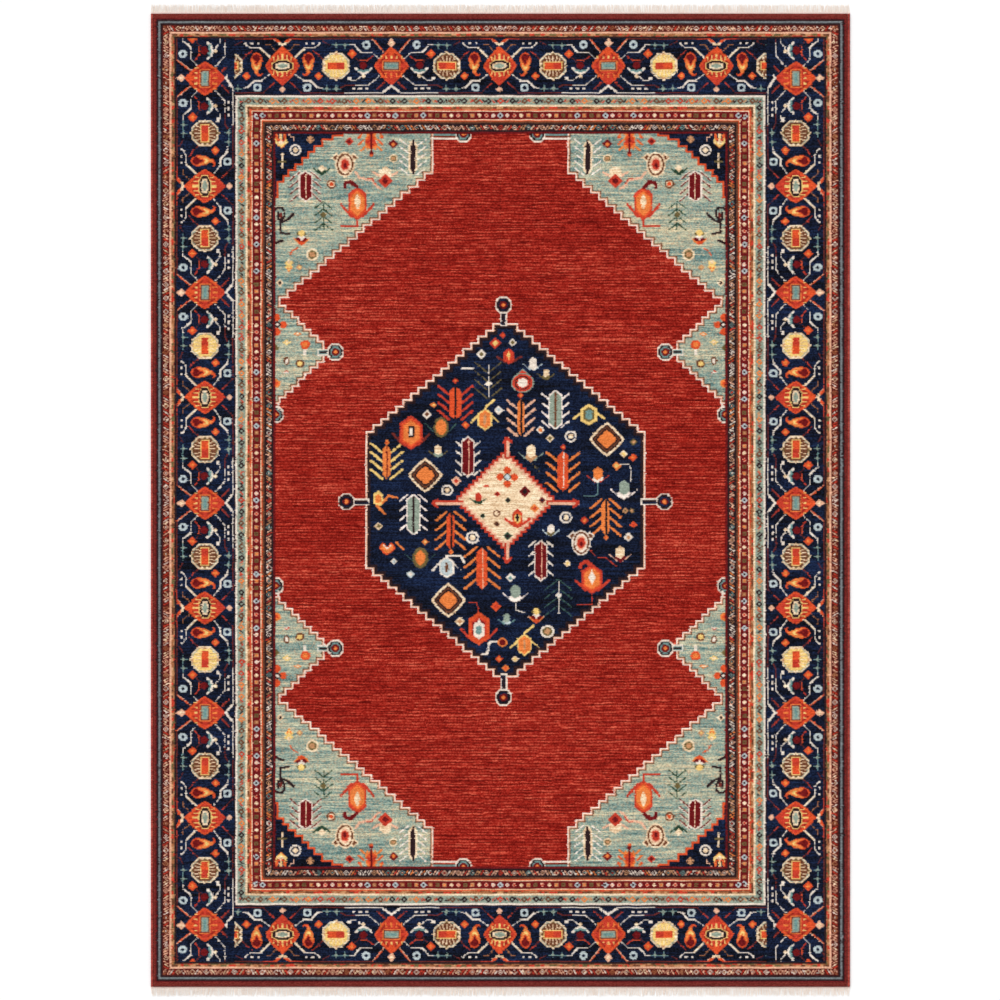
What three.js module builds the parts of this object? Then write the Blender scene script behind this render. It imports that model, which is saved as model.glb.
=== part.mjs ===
// Pile area rug with a centre medallion, corner spandrels and a six-band border, lying flat.
//
// X runs across the rug, Y along it and Z up from the floor. The origin is the middle of the
// underside. The design is laid out on the weaver's grid of tufts, so every design area is a whole
// number of tufts across and rows along, and the solids of the pile follow that grid.

import * as THREE from 'three';

// ---- The weaver's grid ----
const TUFTS_ACROSS = 700; // over both serged sides
const ROWS_ALONG = 1012; // between the two end webs
const TUFT_PITCH = 3.41; // mm from tuft to tuft across
const ROW_PITCH = 3.28; // mm from row to row, closer because the wefts are beaten down

// ---- Thicknesses, in mm ----
const GROUND_THICKNESS = 2.7; // warps and wefts
const PILE_HEIGHT = 8; // cut yarn standing on the ground weave
const JOINT_GAP = 0.3; // clearance between pieces that touch

// ---- Side edges, in tufts and mm ----
const SERGED_TUFTS = 3; // width that the overcast edge takes on each side
const SERGED_HEIGHT = 8.6;
const SELVEDGE_CORD_DIAMETER = 4.6;

// ---- Ends, in mm ----
const END_WEB_LENGTH = 5; // flat-woven strip past the last row of pile
const FRINGE_HEADING = 5; // part of the fringe that stays whole
const FRINGE_LENGTH = 29; // heading and hanging ends together
const FRINGE_THICKNESS = 2;
const FRINGE_BUNCH_WIDTH = 18;
const FRINGE_BUNCH_PITCH = 24;

// ---- Border bands from the outside in, each a width in tufts ----
const BORDER_BANDS = [
  { name: 'plain_band', tufts: 9, colour: 0x6a2020 },
  { name: 'outer_guard', tufts: 14, colour: 0x8a5a42 },
  { name: 'main_border', tufts: 58, colour: 0x1a2240 },
  { name: 'blue_guard', tufts: 16, colour: 0x9db0a8 },
  { name: 'bead_guard', tufts: 12, colour: 0x9c3026 },
  { name: 'navy_guard', tufts: 13, colour: 0x2a2436 },
];

// ---- Corner spandrels, in tufts across and rows along from the field's corner ----
const SPANDREL_WIDTH = 158;
const SPANDREL_SHOULDER = 42; // rows before its edge starts to step in
const SPANDREL_LENGTH = 172;
const SPANDREL_NECK = 5; // tufts left where it meets the side spandrel
const SPANDREL_LAST_TREAD = 8; // tufts of the step just above the neck
const SPANDREL_STEPS = 19;

// ---- Side spandrels, which carry on from the corner spandrels ----
const SIDE_SPANDREL_WIDTH = 49;
const SIDE_SPANDREL_SLOPE = 43; // rows of stepping before and after its flat nose
const SIDE_SPANDREL_NOSE = 23; // rows
const SIDE_SPANDREL_STEPS = 7;

// ---- Navy triangles in the field's corners: the outer tuft of each step and its last row ----
const CORNER_TREADS = [
  [68, 3], [58, 7], [48, 14], [40, 20], [34, 26],
  [28, 33], [21, 39], [14, 45], [9, 51], [3, 67],
];

// ---- Medallion, measured from its own centre ----
const MEDALLION_OFFSET = 5; // tufts from the middle of the rug, to +X
const MEDALLION_HALF_WIDTH = 140;
const MEDALLION_HALF_LENGTH = 184;
const MEDALLION_HALF_FLANK = 72; // rows of its straight sides on each side of its centre
const MEDALLION_HALF_CROWN = 13; // tufts of its straight ends
const MEDALLION_STEPS = 17;
const DIAMOND_HALF_WIDTH = 47;
const DIAMOND_HALF_LENGTH = 48;
const DIAMOND_HALF_TIP = 3;
const DIAMOND_STEPS = 11;

// ---- Round sections ----
const WRAP_SIDES = 20;
const CORD_SIDES = 12;

// ---- Worked out from the sizes above ----
const RUG_WIDTH = TUFTS_ACROSS * TUFT_PITCH;
const RUG_LENGTH = ROWS_ALONG * ROW_PITCH;
const HALF_ACROSS = TUFTS_ACROSS / 2;
const HALF_ALONG = ROWS_ALONG / 2;
const SERGED_WIDTH = SERGED_TUFTS * TUFT_PITCH - JOINT_GAP / 2;
const PILE_FOOT = GROUND_THICKNESS + JOINT_GAP;
const BORDER_TUFTS = BORDER_BANDS.reduce((sum, band) => sum + band.tufts, SERGED_TUFTS);
const FIELD_HALF_ACROSS = HALF_ACROSS - BORDER_TUFTS;
const FIELD_HALF_ALONG = HALF_ALONG - BORDER_TUFTS;

const rug = new THREE.Group();

function yarn(colour, roughness) {
  return new THREE.MeshStandardMaterial({ color: colour, roughness, metalness: 0 });
}

function addPiece(name, geometry, material) {
  const piece = new THREE.Mesh(geometry, material);
  piece.name = name;
  rug.add(piece);
  return piece;
}

// An outline of corners becomes a flat slab standing from floor height `foot` up to `foot + height`.
function slab(outline, foot, height) {
  const shape = new THREE.Shape(outline.map(([x, y]) => new THREE.Vector2(x, y)));
  const geometry = new THREE.ExtrudeGeometry(shape, { depth: height, bevelEnabled: false });
  return geometry.translate(0, 0, foot);
}

function rectangle(left, right, low, high) {
  return [[left, low], [right, low], [right, high], [left, high]];
}

// Stepped line between two corners: `steps` treads and risers, each a whole number of tufts or
// rows. It leaves along X when `acrossFirst`, and along Y otherwise. The first corner is left out.
function steppedLine(from, to, steps, acrossFirst) {
  const corners = [];
  let [x, y] = from;
  for (let i = 1; i <= steps; i += 1) {
    const nextX = Math.round(from[0] + ((to[0] - from[0]) * i) / steps);
    const nextY = Math.round(from[1] + ((to[1] - from[1]) * i) / steps);
    corners.push(acrossFirst ? [nextX, y] : [x, nextY]);
    corners.push([nextX, nextY]);
    x = nextX;
    y = nextY;
  }
  return corners;
}

function turnsLeft(outline) {
  let doubledArea = 0;
  outline.forEach(([x, y], i) => {
    const [nextX, nextY] = outline[(i + 1) % outline.length];
    doubledArea += x * nextY - nextX * y;
  });
  return doubledArea > 0;
}

// Draws every side of a square-cornered outline in by half the joint gap.
function pulledIn(outline) {
  const loop = turnsLeft(outline) ? outline : [...outline].reverse();
  return loop.map(([x, y], i) => {
    const [lastX, lastY] = loop[(i + loop.length - 1) % loop.length];
    const [nextX, nextY] = loop[(i + 1) % loop.length];
    const across = Math.sign(lastY - y) + Math.sign(y - nextY);
    const along = Math.sign(x - lastX) + Math.sign(nextX - x);
    return [x + (across * JOINT_GAP) / 2, y + (along * JOINT_GAP) / 2];
  });
}

// One design area of the pile, from its outline in tufts and rows.
function addPile(name, outline, material) {
  const inMillimetres = outline.map(([tufts, rows]) => [tufts * TUFT_PITCH, rows * ROW_PITCH]);
  return addPiece(name, slab(pulledIn(inMillimetres), PILE_FOOT, PILE_HEIGHT), material);
}

// ---- Ground weave ----
function addGroundWeave() {
  const halfWidth = RUG_WIDTH / 2 - SERGED_WIDTH - JOINT_GAP;
  const outline = rectangle(-halfWidth, halfWidth, -RUG_LENGTH / 2, RUG_LENGTH / 2);
  addPiece('ground_weave', slab(outline, 0, GROUND_THICKNESS), yarn(0xcdbfa6, 0.95));
}

// ---- Side edges: a cord of bunched warps, overcast with yarn ----
function ellipse(width, height, sides) {
  return Array.from({ length: sides }, (_, i) => {
    const angle = (2 * Math.PI * i) / sides;
    return new THREE.Vector2((Math.cos(angle) * width) / 2, (Math.sin(angle) * height) / 2);
  });
}

// Runs a section that is drawn in X and Z along the whole pile length.
function alongRug(shape, centreX, centreZ) {
  const geometry = new THREE.ExtrudeGeometry(shape, { depth: RUG_LENGTH, bevelEnabled: false });
  return geometry.rotateX(Math.PI / 2).translate(centreX, RUG_LENGTH / 2, centreZ);
}

function addSideEdge(side, direction) {
  const centreX = direction * (RUG_WIDTH / 2 - SERGED_WIDTH / 2);
  const centreZ = SERGED_HEIGHT / 2;
  const bore = SELVEDGE_CORD_DIAMETER + 2 * JOINT_GAP;
  const wrap = new THREE.Shape(ellipse(SERGED_WIDTH, SERGED_HEIGHT, WRAP_SIDES));
  wrap.holes.push(new THREE.Path(ellipse(bore, bore, CORD_SIDES)));
  addPiece(`side_serging_${side}`, alongRug(wrap, centreX, centreZ), yarn(0x9a3a34, 0.9));

  const cord = new THREE.Shape(ellipse(SELVEDGE_CORD_DIAMETER, SELVEDGE_CORD_DIAMETER, CORD_SIDES));
  addPiece(`selvedge_cord_${side}`, alongRug(cord, centreX, centreZ), yarn(0xd8cdb4, 0.95));
}

// ---- Ends: a flat-woven web, then the warps cut loose as a fringe ----
function fringeOutline(start, direction) {
  const bunches = Math.floor((RUG_WIDTH + FRINGE_BUNCH_PITCH - FRINGE_BUNCH_WIDTH) / FRINGE_BUNCH_PITCH);
  const spread = (bunches - 1) * FRINGE_BUNCH_PITCH + FRINGE_BUNCH_WIDTH;
  const heading = start + direction * FRINGE_HEADING;
  const tip = start + direction * FRINGE_LENGTH;
  const outline = [[spread / 2, heading], [spread / 2, start], [-spread / 2, start], [-spread / 2, heading]];
  for (let i = 0; i < bunches; i += 1) {
    const left = -spread / 2 + i * FRINGE_BUNCH_PITCH;
    const right = left + FRINGE_BUNCH_WIDTH;
    if (i > 0) {
      outline.push([left, heading]);
    }
    outline.push([left, tip]);
    outline.push([right, tip]);
    if (i < bunches - 1) {
      outline.push([right, heading]);
    }
  }
  return outline;
}

function addEnd(end, direction) {
  const webStart = RUG_LENGTH / 2 + JOINT_GAP;
  const webEnd = webStart + END_WEB_LENGTH;
  const web = rectangle(-RUG_WIDTH / 2, RUG_WIDTH / 2, direction * webStart, direction * webEnd);
  addPiece(`end_web_${end}`, slab(web, 0, GROUND_THICKNESS), yarn(0xf0ddd0, 0.95));

  const fringe = fringeOutline(direction * (webEnd + JOINT_GAP), direction);
  addPiece(`fringe_${end}`, slab(fringe, 0, FRINGE_THICKNESS), yarn(0xede3d8, 0.95));
}

// ---- Border: each band is two end strips and two side strips between them ----
function addBorderBands() {
  let outer = SERGED_TUFTS;
  BORDER_BANDS.forEach((band, i) => {
    const inner = outer + band.tufts;
    const right = HALF_ACROSS - outer;
    const innerRight = HALF_ACROSS - inner;
    const head = HALF_ALONG - (i === 0 ? 0 : outer);
    const innerHead = HALF_ALONG - inner;
    const material = yarn(band.colour, 0.95);
    addPile(`${band.name}_head`, rectangle(-right, right, innerHead, head), material);
    addPile(`${band.name}_foot`, rectangle(-right, right, -head, -innerHead), material);
    addPile(`${band.name}_left`, rectangle(-right, -innerRight, -innerHead, innerHead), material);
    addPile(`${band.name}_right`, rectangle(innerRight, right, -innerHead, innerHead), material);
    outer = inner;
  });
}

// ---- Field: outlines are drawn inwards from one of its corners, then turned into place ----
function cornerEdge() {
  const corners = [];
  let row = 0;
  CORNER_TREADS.forEach(([across, along]) => {
    corners.push([across, row]);
    corners.push([across, along]);
    row = along;
  });
  return [...corners, [0, row]];
}

function spandrelEdge() {
  const shoulder = [SPANDREL_WIDTH, SPANDREL_SHOULDER];
  const lastTread = [SPANDREL_NECK + SPANDREL_LAST_TREAD, SPANDREL_LENGTH - 1];
  return [
    [SPANDREL_WIDTH, 0],
    shoulder,
    ...steppedLine(shoulder, lastTread, SPANDREL_STEPS, true),
    [SPANDREL_NECK, SPANDREL_LENGTH - 1],
    [SPANDREL_NECK, SPANDREL_LENGTH],
  ];
}

function sideSpandrelEdge() {
  const neck = [SPANDREL_NECK, SPANDREL_LENGTH];
  const noseStart = [SIDE_SPANDREL_WIDTH, SPANDREL_LENGTH + SIDE_SPANDREL_SLOPE];
  const noseEnd = [SIDE_SPANDREL_WIDTH, noseStart[1] + SIDE_SPANDREL_NOSE];
  const tail = [SPANDREL_NECK, noseEnd[1] + SIDE_SPANDREL_SLOPE];
  return [
    neck,
    ...steppedLine(neck, noseStart, SIDE_SPANDREL_STEPS, false),
    noseEnd,
    ...steppedLine(noseEnd, tail, SIDE_SPANDREL_STEPS, true),
    [0, tail[1]],
  ];
}

// A quarter of the medallion's edge, from its crown round to its flank, from its own centre.
function medallionEdge() {
  const crown = [MEDALLION_HALF_CROWN, MEDALLION_HALF_LENGTH];
  const flank = [MEDALLION_HALF_WIDTH, MEDALLION_HALF_FLANK];
  return [crown, ...steppedLine(crown, flank, MEDALLION_STEPS, false)];
}

function diamondEdge() {
  const crown = [DIAMOND_HALF_TIP, DIAMOND_HALF_LENGTH];
  const flank = [DIAMOND_HALF_WIDTH, DIAMOND_HALF_TIP];
  return [crown, ...steppedLine(crown, flank, DIAMOND_STEPS, false)];
}

function addFieldQuarter(end, alongDirection, side, acrossDirection) {
  const place = (outline) => outline.map(([across, along]) => [
    acrossDirection * (FIELD_HALF_ACROSS - across),
    alongDirection * (FIELD_HALF_ALONG - along),
  ]);
  const corner = cornerEdge();
  const spandrel = spandrelEdge();
  const sideSpandrel = sideSpandrelEdge();
  addPile(`corner_triangle_${end}_${side}`, place([[0, 0], ...corner]), yarn(0x1a2240, 0.95));

  const spandrelOutline = [...spandrel, [0, SPANDREL_LENGTH], ...[...corner].reverse()];
  addPile(`corner_spandrel_${end}_${side}`, place(spandrelOutline), yarn(0x8fb0ac, 0.95));

  const sideOutline = [[0, SPANDREL_LENGTH], ...sideSpandrel];
  addPile(`side_spandrel_${end}_${side}`, place(sideOutline), yarn(0x8fb0ac, 0.95));

  const midAcross = FIELD_HALF_ACROSS - acrossDirection * MEDALLION_OFFSET;
  const midAlong = FIELD_HALF_ALONG;
  const medallion = medallionEdge().map(([across, along]) => [midAcross - across, midAlong - along]);
  // The two spandrels' edges run straight on where they meet, so their shared corner drops out.
  const field = [
    ...spandrel.slice(0, -1),
    ...sideSpandrel.slice(1),
    [0, midAlong],
    [midAcross - MEDALLION_HALF_WIDTH, midAlong],
    ...medallion.reverse(),
    [midAcross, midAlong - MEDALLION_HALF_LENGTH],
    [midAcross, 0],
  ];
  addPile(`field_${end}_${side}`, place(field), yarn(0xa32c20, 0.95));
}

// ---- Medallion: two halves round the cream diamond in its middle ----
function mirroredAcross(outline) {
  return outline.map(([across, along]) => [-across, along]).reverse();
}

function fromMedallionCentre(outline, alongDirection) {
  return outline.map(([across, along]) => [across + MEDALLION_OFFSET, alongDirection * along]);
}

function addMedallionHalf(end, alongDirection) {
  const rim = medallionEdge();
  const bite = diamondEdge();
  const half = [
    ...mirroredAcross(rim),
    ...rim,
    [MEDALLION_HALF_WIDTH, 0],
    [DIAMOND_HALF_WIDTH, 0],
    ...[...bite].reverse(),
    ...[...mirroredAcross(bite)].reverse(),
    [-DIAMOND_HALF_WIDTH, 0],
    [-MEDALLION_HALF_WIDTH, 0],
  ];
  addPile(`medallion_${end}`, fromMedallionCentre(half, alongDirection), yarn(0x1a2240, 0.95));
}

function addMedallionCentre() {
  const edge = diamondEdge();
  const top = [...mirroredAcross(edge), ...edge];
  const bottom = top.map(([across, along]) => [across, -along]).reverse();
  const diamond = fromMedallionCentre([...top, ...bottom], 1);
  addPile('medallion_centre', diamond, yarn(0xf3e0c2, 0.95));
}

addGroundWeave();
addSideEdge('left', -1);
addSideEdge('right', 1);
addEnd('head', 1);
addEnd('foot', -1);
addBorderBands();
for (const [end, alongDirection] of [['head', 1], ['foot', -1]]) {
  for (const [side, acrossDirection] of [['left', -1], ['right', 1]]) {
    addFieldQuarter(end, alongDirection, side, acrossDirection);
  }
  addMedallionHalf(end, alongDirection);
}
addMedallionCentre();

export default rug;
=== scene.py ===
# %% [markdown]
# # Area rug with a medallion, blue spandrels and a six-band border
# The real rug is a pile carpet. Wool tufts stand in rows on a cotton ground weave, the sides are
# overcast with yarn, and at both ends the warps are cut loose as a fringe.
# A weaver reads the design from squared paper, one square for each tuft. This script does the same:
# it draws the design on paper first, and then makes one small face of pile for each square.

import math

import bpy
import numpy as np
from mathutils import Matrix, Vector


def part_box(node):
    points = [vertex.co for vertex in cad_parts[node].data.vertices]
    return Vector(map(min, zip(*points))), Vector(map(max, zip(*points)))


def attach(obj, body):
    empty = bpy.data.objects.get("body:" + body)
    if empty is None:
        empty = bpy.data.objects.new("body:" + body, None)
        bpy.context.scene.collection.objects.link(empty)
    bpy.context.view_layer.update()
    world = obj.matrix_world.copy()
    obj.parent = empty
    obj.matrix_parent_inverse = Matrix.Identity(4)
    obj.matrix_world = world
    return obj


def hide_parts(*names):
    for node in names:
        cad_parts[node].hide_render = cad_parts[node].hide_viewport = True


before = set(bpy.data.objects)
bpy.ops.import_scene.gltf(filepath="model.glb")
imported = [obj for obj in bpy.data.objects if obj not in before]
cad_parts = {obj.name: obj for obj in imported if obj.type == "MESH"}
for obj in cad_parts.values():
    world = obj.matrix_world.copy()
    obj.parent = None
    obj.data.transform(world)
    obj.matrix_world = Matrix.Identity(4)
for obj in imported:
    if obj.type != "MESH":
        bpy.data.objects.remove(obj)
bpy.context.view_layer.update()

# %% [markdown]
# The camera looks straight down with a long lens, so the rug shows as a flat rectangle with its
# head edge up. The lens is far enough away that the thickness of the pile doesn't lean outwards.

# %% Camera
VIEW_WIDTH = 3.41
LENS_MM = 100
SENSOR_MM = 36
PILE_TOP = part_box("field_head_left")[1].z
CAMERA_AIM = (-0.0014, 0.0007)

camera = bpy.data.objects.new("camera", bpy.data.cameras.new("camera"))
camera.data.lens = LENS_MM
camera.data.sensor_width = SENSOR_MM
camera.data.clip_end = 50
camera.location = (*CAMERA_AIM, PILE_TOP + VIEW_WIDTH * LENS_MM / SENSOR_MM)
bpy.context.scene.collection.objects.link(camera)
bpy.context.scene.camera = camera
print("camera height:", round(camera.location.z, 3), "m")

# %% [markdown]
# Soft studio light is one very wide sun from the head-left and a white sky around it. The sun is
# just directional enough to pick out the rows of tufts. The floor is a plain white sheet.

# %% Colour helper
def linear(hex_colour):
    """An sRGB hex colour as linear red, green, blue and full alpha."""
    channels = [int(hex_colour[i : i + 2], 16) / 255 for i in (1, 3, 5)]
    curve = [c / 12.92 if c <= 0.04045 else ((c + 0.055) / 1.055) ** 2.4 for c in channels]
    return (*curve, 1.0)


# %% Node helper
def node(tree, kind, inputs=None, **settings):
    """Adds one node. An input is a plain value, a socket, or a node whose first output is meant."""
    made = tree.nodes.new(kind)
    for name, value in settings.items():
        setattr(made, name, value)
    for name, value in (inputs or {}).items():
        value = value.outputs[0] if isinstance(value, bpy.types.Node) else value
        if isinstance(value, bpy.types.NodeSocket):
            tree.links.new(value, made.inputs[name])
        else:
            made.inputs[name].default_value = value
    return made


# %% Sum helper
def maths(tree, operation, *values):
    """One sum on plain numbers or sockets."""
    return node(tree, "ShaderNodeMath", dict(enumerate(values)), operation=operation).outputs["Value"]


# %% Matt material helper
def matt(name, colour, roughness, specular, **own):
    """A matt material, with its node tree and its shader."""
    made = bpy.data.materials.new(name)
    made.use_nodes = True
    shader = made.node_tree.nodes["Principled BSDF"]
    shader.inputs["Base Color"].default_value = linear(colour)
    shader.inputs["Roughness"].default_value = roughness
    shader.inputs["Specular IOR Level"].default_value = specular
    for socket, value in own.items():
        shader.inputs[socket].default_value = value
    return made, made.node_tree, shader


# %% Sky, sun and floor
SKY_LEVEL = 0.62
SUN_LEVEL = 1.75
SUN_SPREAD = math.radians(50)

scene = bpy.context.scene
scene.view_settings.view_transform = "Standard"
scene.view_settings.look = "None"
scene.world = bpy.data.worlds.new("studio")
scene.world.use_nodes = True
sky = scene.world.node_tree.nodes["Background"]
sky.inputs["Color"].default_value = linear("#ffffff")
sky.inputs["Strength"].default_value = SKY_LEVEL

sun = bpy.data.objects.new("softbox_sun", bpy.data.lights.new("softbox_sun", "SUN"))
sun.data.energy = SUN_LEVEL
sun.data.angle = SUN_SPREAD
sun.rotation_euler = (math.radians(-34), math.radians(-22), 0)
scene.collection.objects.link(sun)

FLOOR_HALF = 12
FLOOR_LEVEL = -0.0006
floor_mesh = bpy.data.meshes.new("floor")
floor_corners = [(-1, -1), (1, -1), (1, 1), (-1, 1)]
flat_corners = [(x * FLOOR_HALF, y * FLOOR_HALF, FLOOR_LEVEL) for x, y in floor_corners]
floor_mesh.from_pydata(flat_corners, [], [(0, 1, 2, 3)])
floor = bpy.data.objects.new("floor", floor_mesh)
scene.collection.objects.link(floor)
paint, _, _ = matt("matt_white_studio_paint", "#fdfdfd", roughness=0.9, specular=0.1)
floor_mesh.materials.append(paint)
print("sky", SKY_LEVEL, "sun", SUN_LEVEL)

# %% [markdown]
# ## The squared paper
# The pile is a grid: tufts across the width, rows along the length. Everything in the design is
# given in tufts and rows, counted from the head-left corner, from the edge of a band or from the
# middle of a motif. Each dyed yarn has a letter, and each letter its colour.

# %% Grid of tufts and rows
TUFTS = 700
ROWS = 1012
LOW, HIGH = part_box("ground_weave")
SIDE_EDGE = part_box("side_serging_right")[1].x
TUFT = 2 * SIDE_EDGE / TUFTS
ROW = (HIGH.y - LOW.y) / ROWS
PILE_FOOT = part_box("field_head_left")[0].z
BORDER = 125
FIELD_TUFTS = TUFTS // 2 - BORDER
FIELD_ROWS = ROWS // 2 - BORDER
print("tuft", round(TUFT * 1000, 3), "mm, row", round(ROW * 1000, 3), "mm")

# %% Dyed yarns
YARNS = {
    "k": "#2b1b1d",  # brown black
    "n": "#161b3c",  # indigo navy
    "r": "#9b2a1e",  # madder red
    "R": "#c23c2a",  # bright madder
    "d": "#6a1417",  # dark madder
    "m": "#702a24",  # maroon
    "g": "#551a14",  # red brown
    "o": "#d9502a",  # orange red
    "O": "#e57d3e",  # orange
    "y": "#efc877",  # weld yellow
    "c": "#f5dfc0",  # cream
    "w": "#ecdccb",  # white wool
    "x": "#ffeadc",  # bleached wool of the outlines
    "p": "#e8b192",  # peach
    "t": "#c28c62",  # tan
    "b": "#a06440",  # orange brown
    "B": "#6b3f2a",  # walnut brown
    "e": "#6b5c38",  # olive
    "s": "#86abaa",  # light blue
    "S": "#8f9c8c",  # sage
    "q": "#6d8f8b",  # faded teal
    "T": "#3f5c52",  # teal green
    "G": "#28402f",  # dark green
    "u": "#777d7f",  # blue grey
    "v": "#b9c4c4",  # pale grey blue
    "f": "#93291c",  # field madder
}
LETTERS = "".join(YARNS)
CODE = {letter: place for place, letter in enumerate(LETTERS)}
SHAPES = {
    "diamond": lambda a, b: abs(a) + abs(b) <= 1,
    "disc": lambda a, b: a * a + b * b <= 1,
    "block": lambda a, b: np.maximum(abs(a), abs(b)) <= 1,
    "octagon": lambda a, b: (np.maximum(abs(a), abs(b)) <= 1) & (abs(a) + abs(b) <= 1.45),
    "lozenge": lambda a, b: abs(a) ** 1.15 + abs(b) ** 1.15 <= 1,
    "leaf": lambda a, b: np.maximum(abs(a), abs(b) + 0.25 * abs(a)) <= 1,
    "fruit": lambda a, b: np.maximum(abs(a), abs(b) + 0.45 * abs(a)) <= 1,
}
print(len(YARNS), "yarns")


# %% Squared paper
class Paper:
    """Squared design paper: fills shapes, draws lines and copies charts, all in tufts and rows."""

    def __init__(self, rows, tufts, ground, origin=(0, 0)):
        self.squares = np.full((rows, tufts), CODE[ground], np.uint8)
        self.origin = origin

    def fill(self, shape, x, y, half_x, half_y, yarn):
        x, y = x + self.origin[0], y + self.origin[1]
        rows, tufts = self.squares.shape
        top, bottom = max(0, math.floor(y - half_y)), min(rows, math.ceil(y + half_y))
        left, right = max(0, math.floor(x - half_x)), min(tufts, math.ceil(x + half_x))
        if top >= bottom or left >= right:
            return
        down, across = np.mgrid[top:bottom, left:right]
        inside = SHAPES[shape]((across + 0.5 - x) / half_x, (down + 0.5 - y) / half_y)
        self.squares[top:bottom, left:right][inside] = CODE[yarn]

    def nest(self, shape, x, y, *layers):
        """Shapes one inside the other, each layer (half_x, half_y, yarn)."""
        for half_x, half_y, yarn in layers:
            self.fill(shape, x, y, half_x, half_y, yarn)

    def line(self, points, yarn, weight=1):
        points = [(x + self.origin[0], y + self.origin[1]) for x, y in points]
        for (x0, y0), (x1, y1) in zip(points, points[1:]):
            steps = int(2 * max(abs(x1 - x0), abs(y1 - y0))) + 1
            for share in np.linspace(0, 1, steps + 1):
                column = round(x0 + (x1 - x0) * share - weight / 2)
                row = round(y0 + (y1 - y0) * share - weight / 2)
                rows = slice(max(row, 0), max(row + weight, 0))
                tufts = slice(max(column, 0), max(column + weight, 0))
                self.squares[rows, tufts] = CODE[yarn]

    def chart(self, x, y, rows, mirror=False, flip=False):
        """Copies a chart of letters, centred on x, y. A dot leaves the paper as it is."""
        rows = rows.split()
        rows = rows[::-1] if flip else rows
        depth, width = self.squares.shape
        top = round(y + self.origin[1] - len(rows) / 2)
        for down, letters in enumerate(rows, top):
            letters = letters[::-1] if mirror else letters
            left = round(x + self.origin[0] - len(letters) / 2)
            for across, letter in enumerate(letters, left):
                if letter != "." and 0 <= down < depth and 0 <= across < width:
                    self.squares[down, across] = CODE[letter]


# %% [markdown]
# ## The main border
# One unit of the border is drawn once, from the middle of a palmette with a cream lozenge to the
# middle of the next one, which has a grey-blue bar. Mirror images of it fill the ends and the sides.

# %% Border palmettes
UNIT = 109
BAND_DEPTH = 58
MIDLINE = 26.5
unit = Paper(BAND_DEPTH, UNIT, "n", origin=(0, 2))


def palmette(u, shade):
    """A lozenge flower as wide as the band, redder towards the inside of the rug."""
    unit.nest("lozenge", u, MIDLINE, (17.4, 20.4, "o"), (14.4, 16.8, "r"), (11.8, 13.2, "R"))
    unit.fill("diamond", u, MIDLINE + 13, 6.5, 8, shade)
    unit.fill("diamond", u, MIDLINE - 14.5, 4.5, 6, "o")
    for side in (-1, 1):
        unit.fill("diamond", u + side * 13, MIDLINE, 2.6, 4.5, "R")


palmette(0, "R")
for ray in (0, 4, 8):
    unit.line([(ray, 20), (ray * 1.15, 14.5 + ray * 0.35)], "y")
    unit.line([(ray, 33), (ray * 1.15, 37.5 - ray * 0.3)], "y")
unit.nest("octagon", 0, MIDLINE, (10.6, 6.6, "y"), (9.6, 5.5, "k"), (7.4, 3.5, "c"), (5.2, 2, "S"))
palmette(109, "R")
for ray in (0, 5, 10):
    unit.line([(109 - ray, 19), (109 - ray * 1.1, 16)], "y")
    unit.line([(109 - ray, 34), (109 - ray * 1.1, 38)], "O")
unit.nest("block", 109, MIDLINE, (9.2, 5, "O"), (8.2, 4.2, "m"), (7.4, 3.2, "S"), (5.4, 1.4, "q"))
print("palmettes drawn on", unit.squares.shape, "squares")

# %% Border vines, leaves and rosettes
unit.line([(8, -1), (2, 3.5), (0, 5)], "p", 2)
unit.line([(7, -1), (3, 2)], "o", 2)
unit.line([(0, 4.5), (3, 3.5)], "c", 2)
unit.fill("diamond", 0, 51, 3.5, 3.6, "p")
unit.fill("diamond", 109, 2.7, 4.6, 4.8, "p")
unit.fill("diamond", 109, 2.7, 2.2, 2.4, "c")
unit.line([(7, 11), (12.5, 4), (16, 4)], "b")
unit.line([(8, 43.5), (19, 54), (62, 54)], "m", 1)
unit.line([(8, 43.5), (13, 48)], "R")
unit.line([(6, -1), (20, -1)], "R")
unit.line([(20, -1), (90, -1)], "m")
unit.line([(90, -1), (101, 12)], "p")
unit.line([(91, -1), (102, 12)], "o")
unit.line([(95, 50), (102, 43.5)], "R")
unit.line([(96, 50), (102, 44.5)], "m")
unit.line([(62, 54), (101, 54)], "w", 1)
unit.line([(101, 53.5), (109, 47)], "w", 2)
unit.line([(12, 17), (22, 7.5), (33, 7), (37, 3.5)], "w")
unit.line([(12.5, 18), (22, 8.5)], "c")
unit.line([(13, 35.5), (20, 41), (28, 41.5), (35, 48.5), (40, 50)], "w")
unit.line([(20, 42), (28, 42.5), (35, 49.5)], "w")
unit.line([(66, 5), (72, 5), (78.5, 12), (89, 12), (96, 19)], "w")
unit.line([(72, 6), (78, 13), (88, 13)], "w")
unit.line([(97, 37), (86, 46.5), (72, 46.5)], "w")
unit.line([(72, 46.5), (64, 46), (58, 49.5)], "m")
unit.line([(40, 1), (46, 4)], "m")
for tooth in (24, 30.5, 37):
    unit.fill("block", tooth, 3, 1.2, 1.4, "w")
for tooth in (71.5, 78, 84.5):
    unit.fill("block", tooth, 50, 1.5, 1.4, "w")
for cross_u, cross_v in ((53.5, 5), (62.5, 5), (44.5, 50), (54, 50)):
    unit.line([(cross_u - 4, cross_v), (cross_u + 4, cross_v)], "q")
    unit.line([(cross_u, cross_v - 3), (cross_u, cross_v + 3)], "q")
    unit.fill("diamond", cross_u, cross_v, 2.2, 2.2, "S")
for ring_u, ring_v in ((25, 49), (84, 4.5)):
    unit.nest("disc", ring_u, ring_v, (4.4, 4.4, "v"), (1.8, 1.8, "n"))
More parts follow.
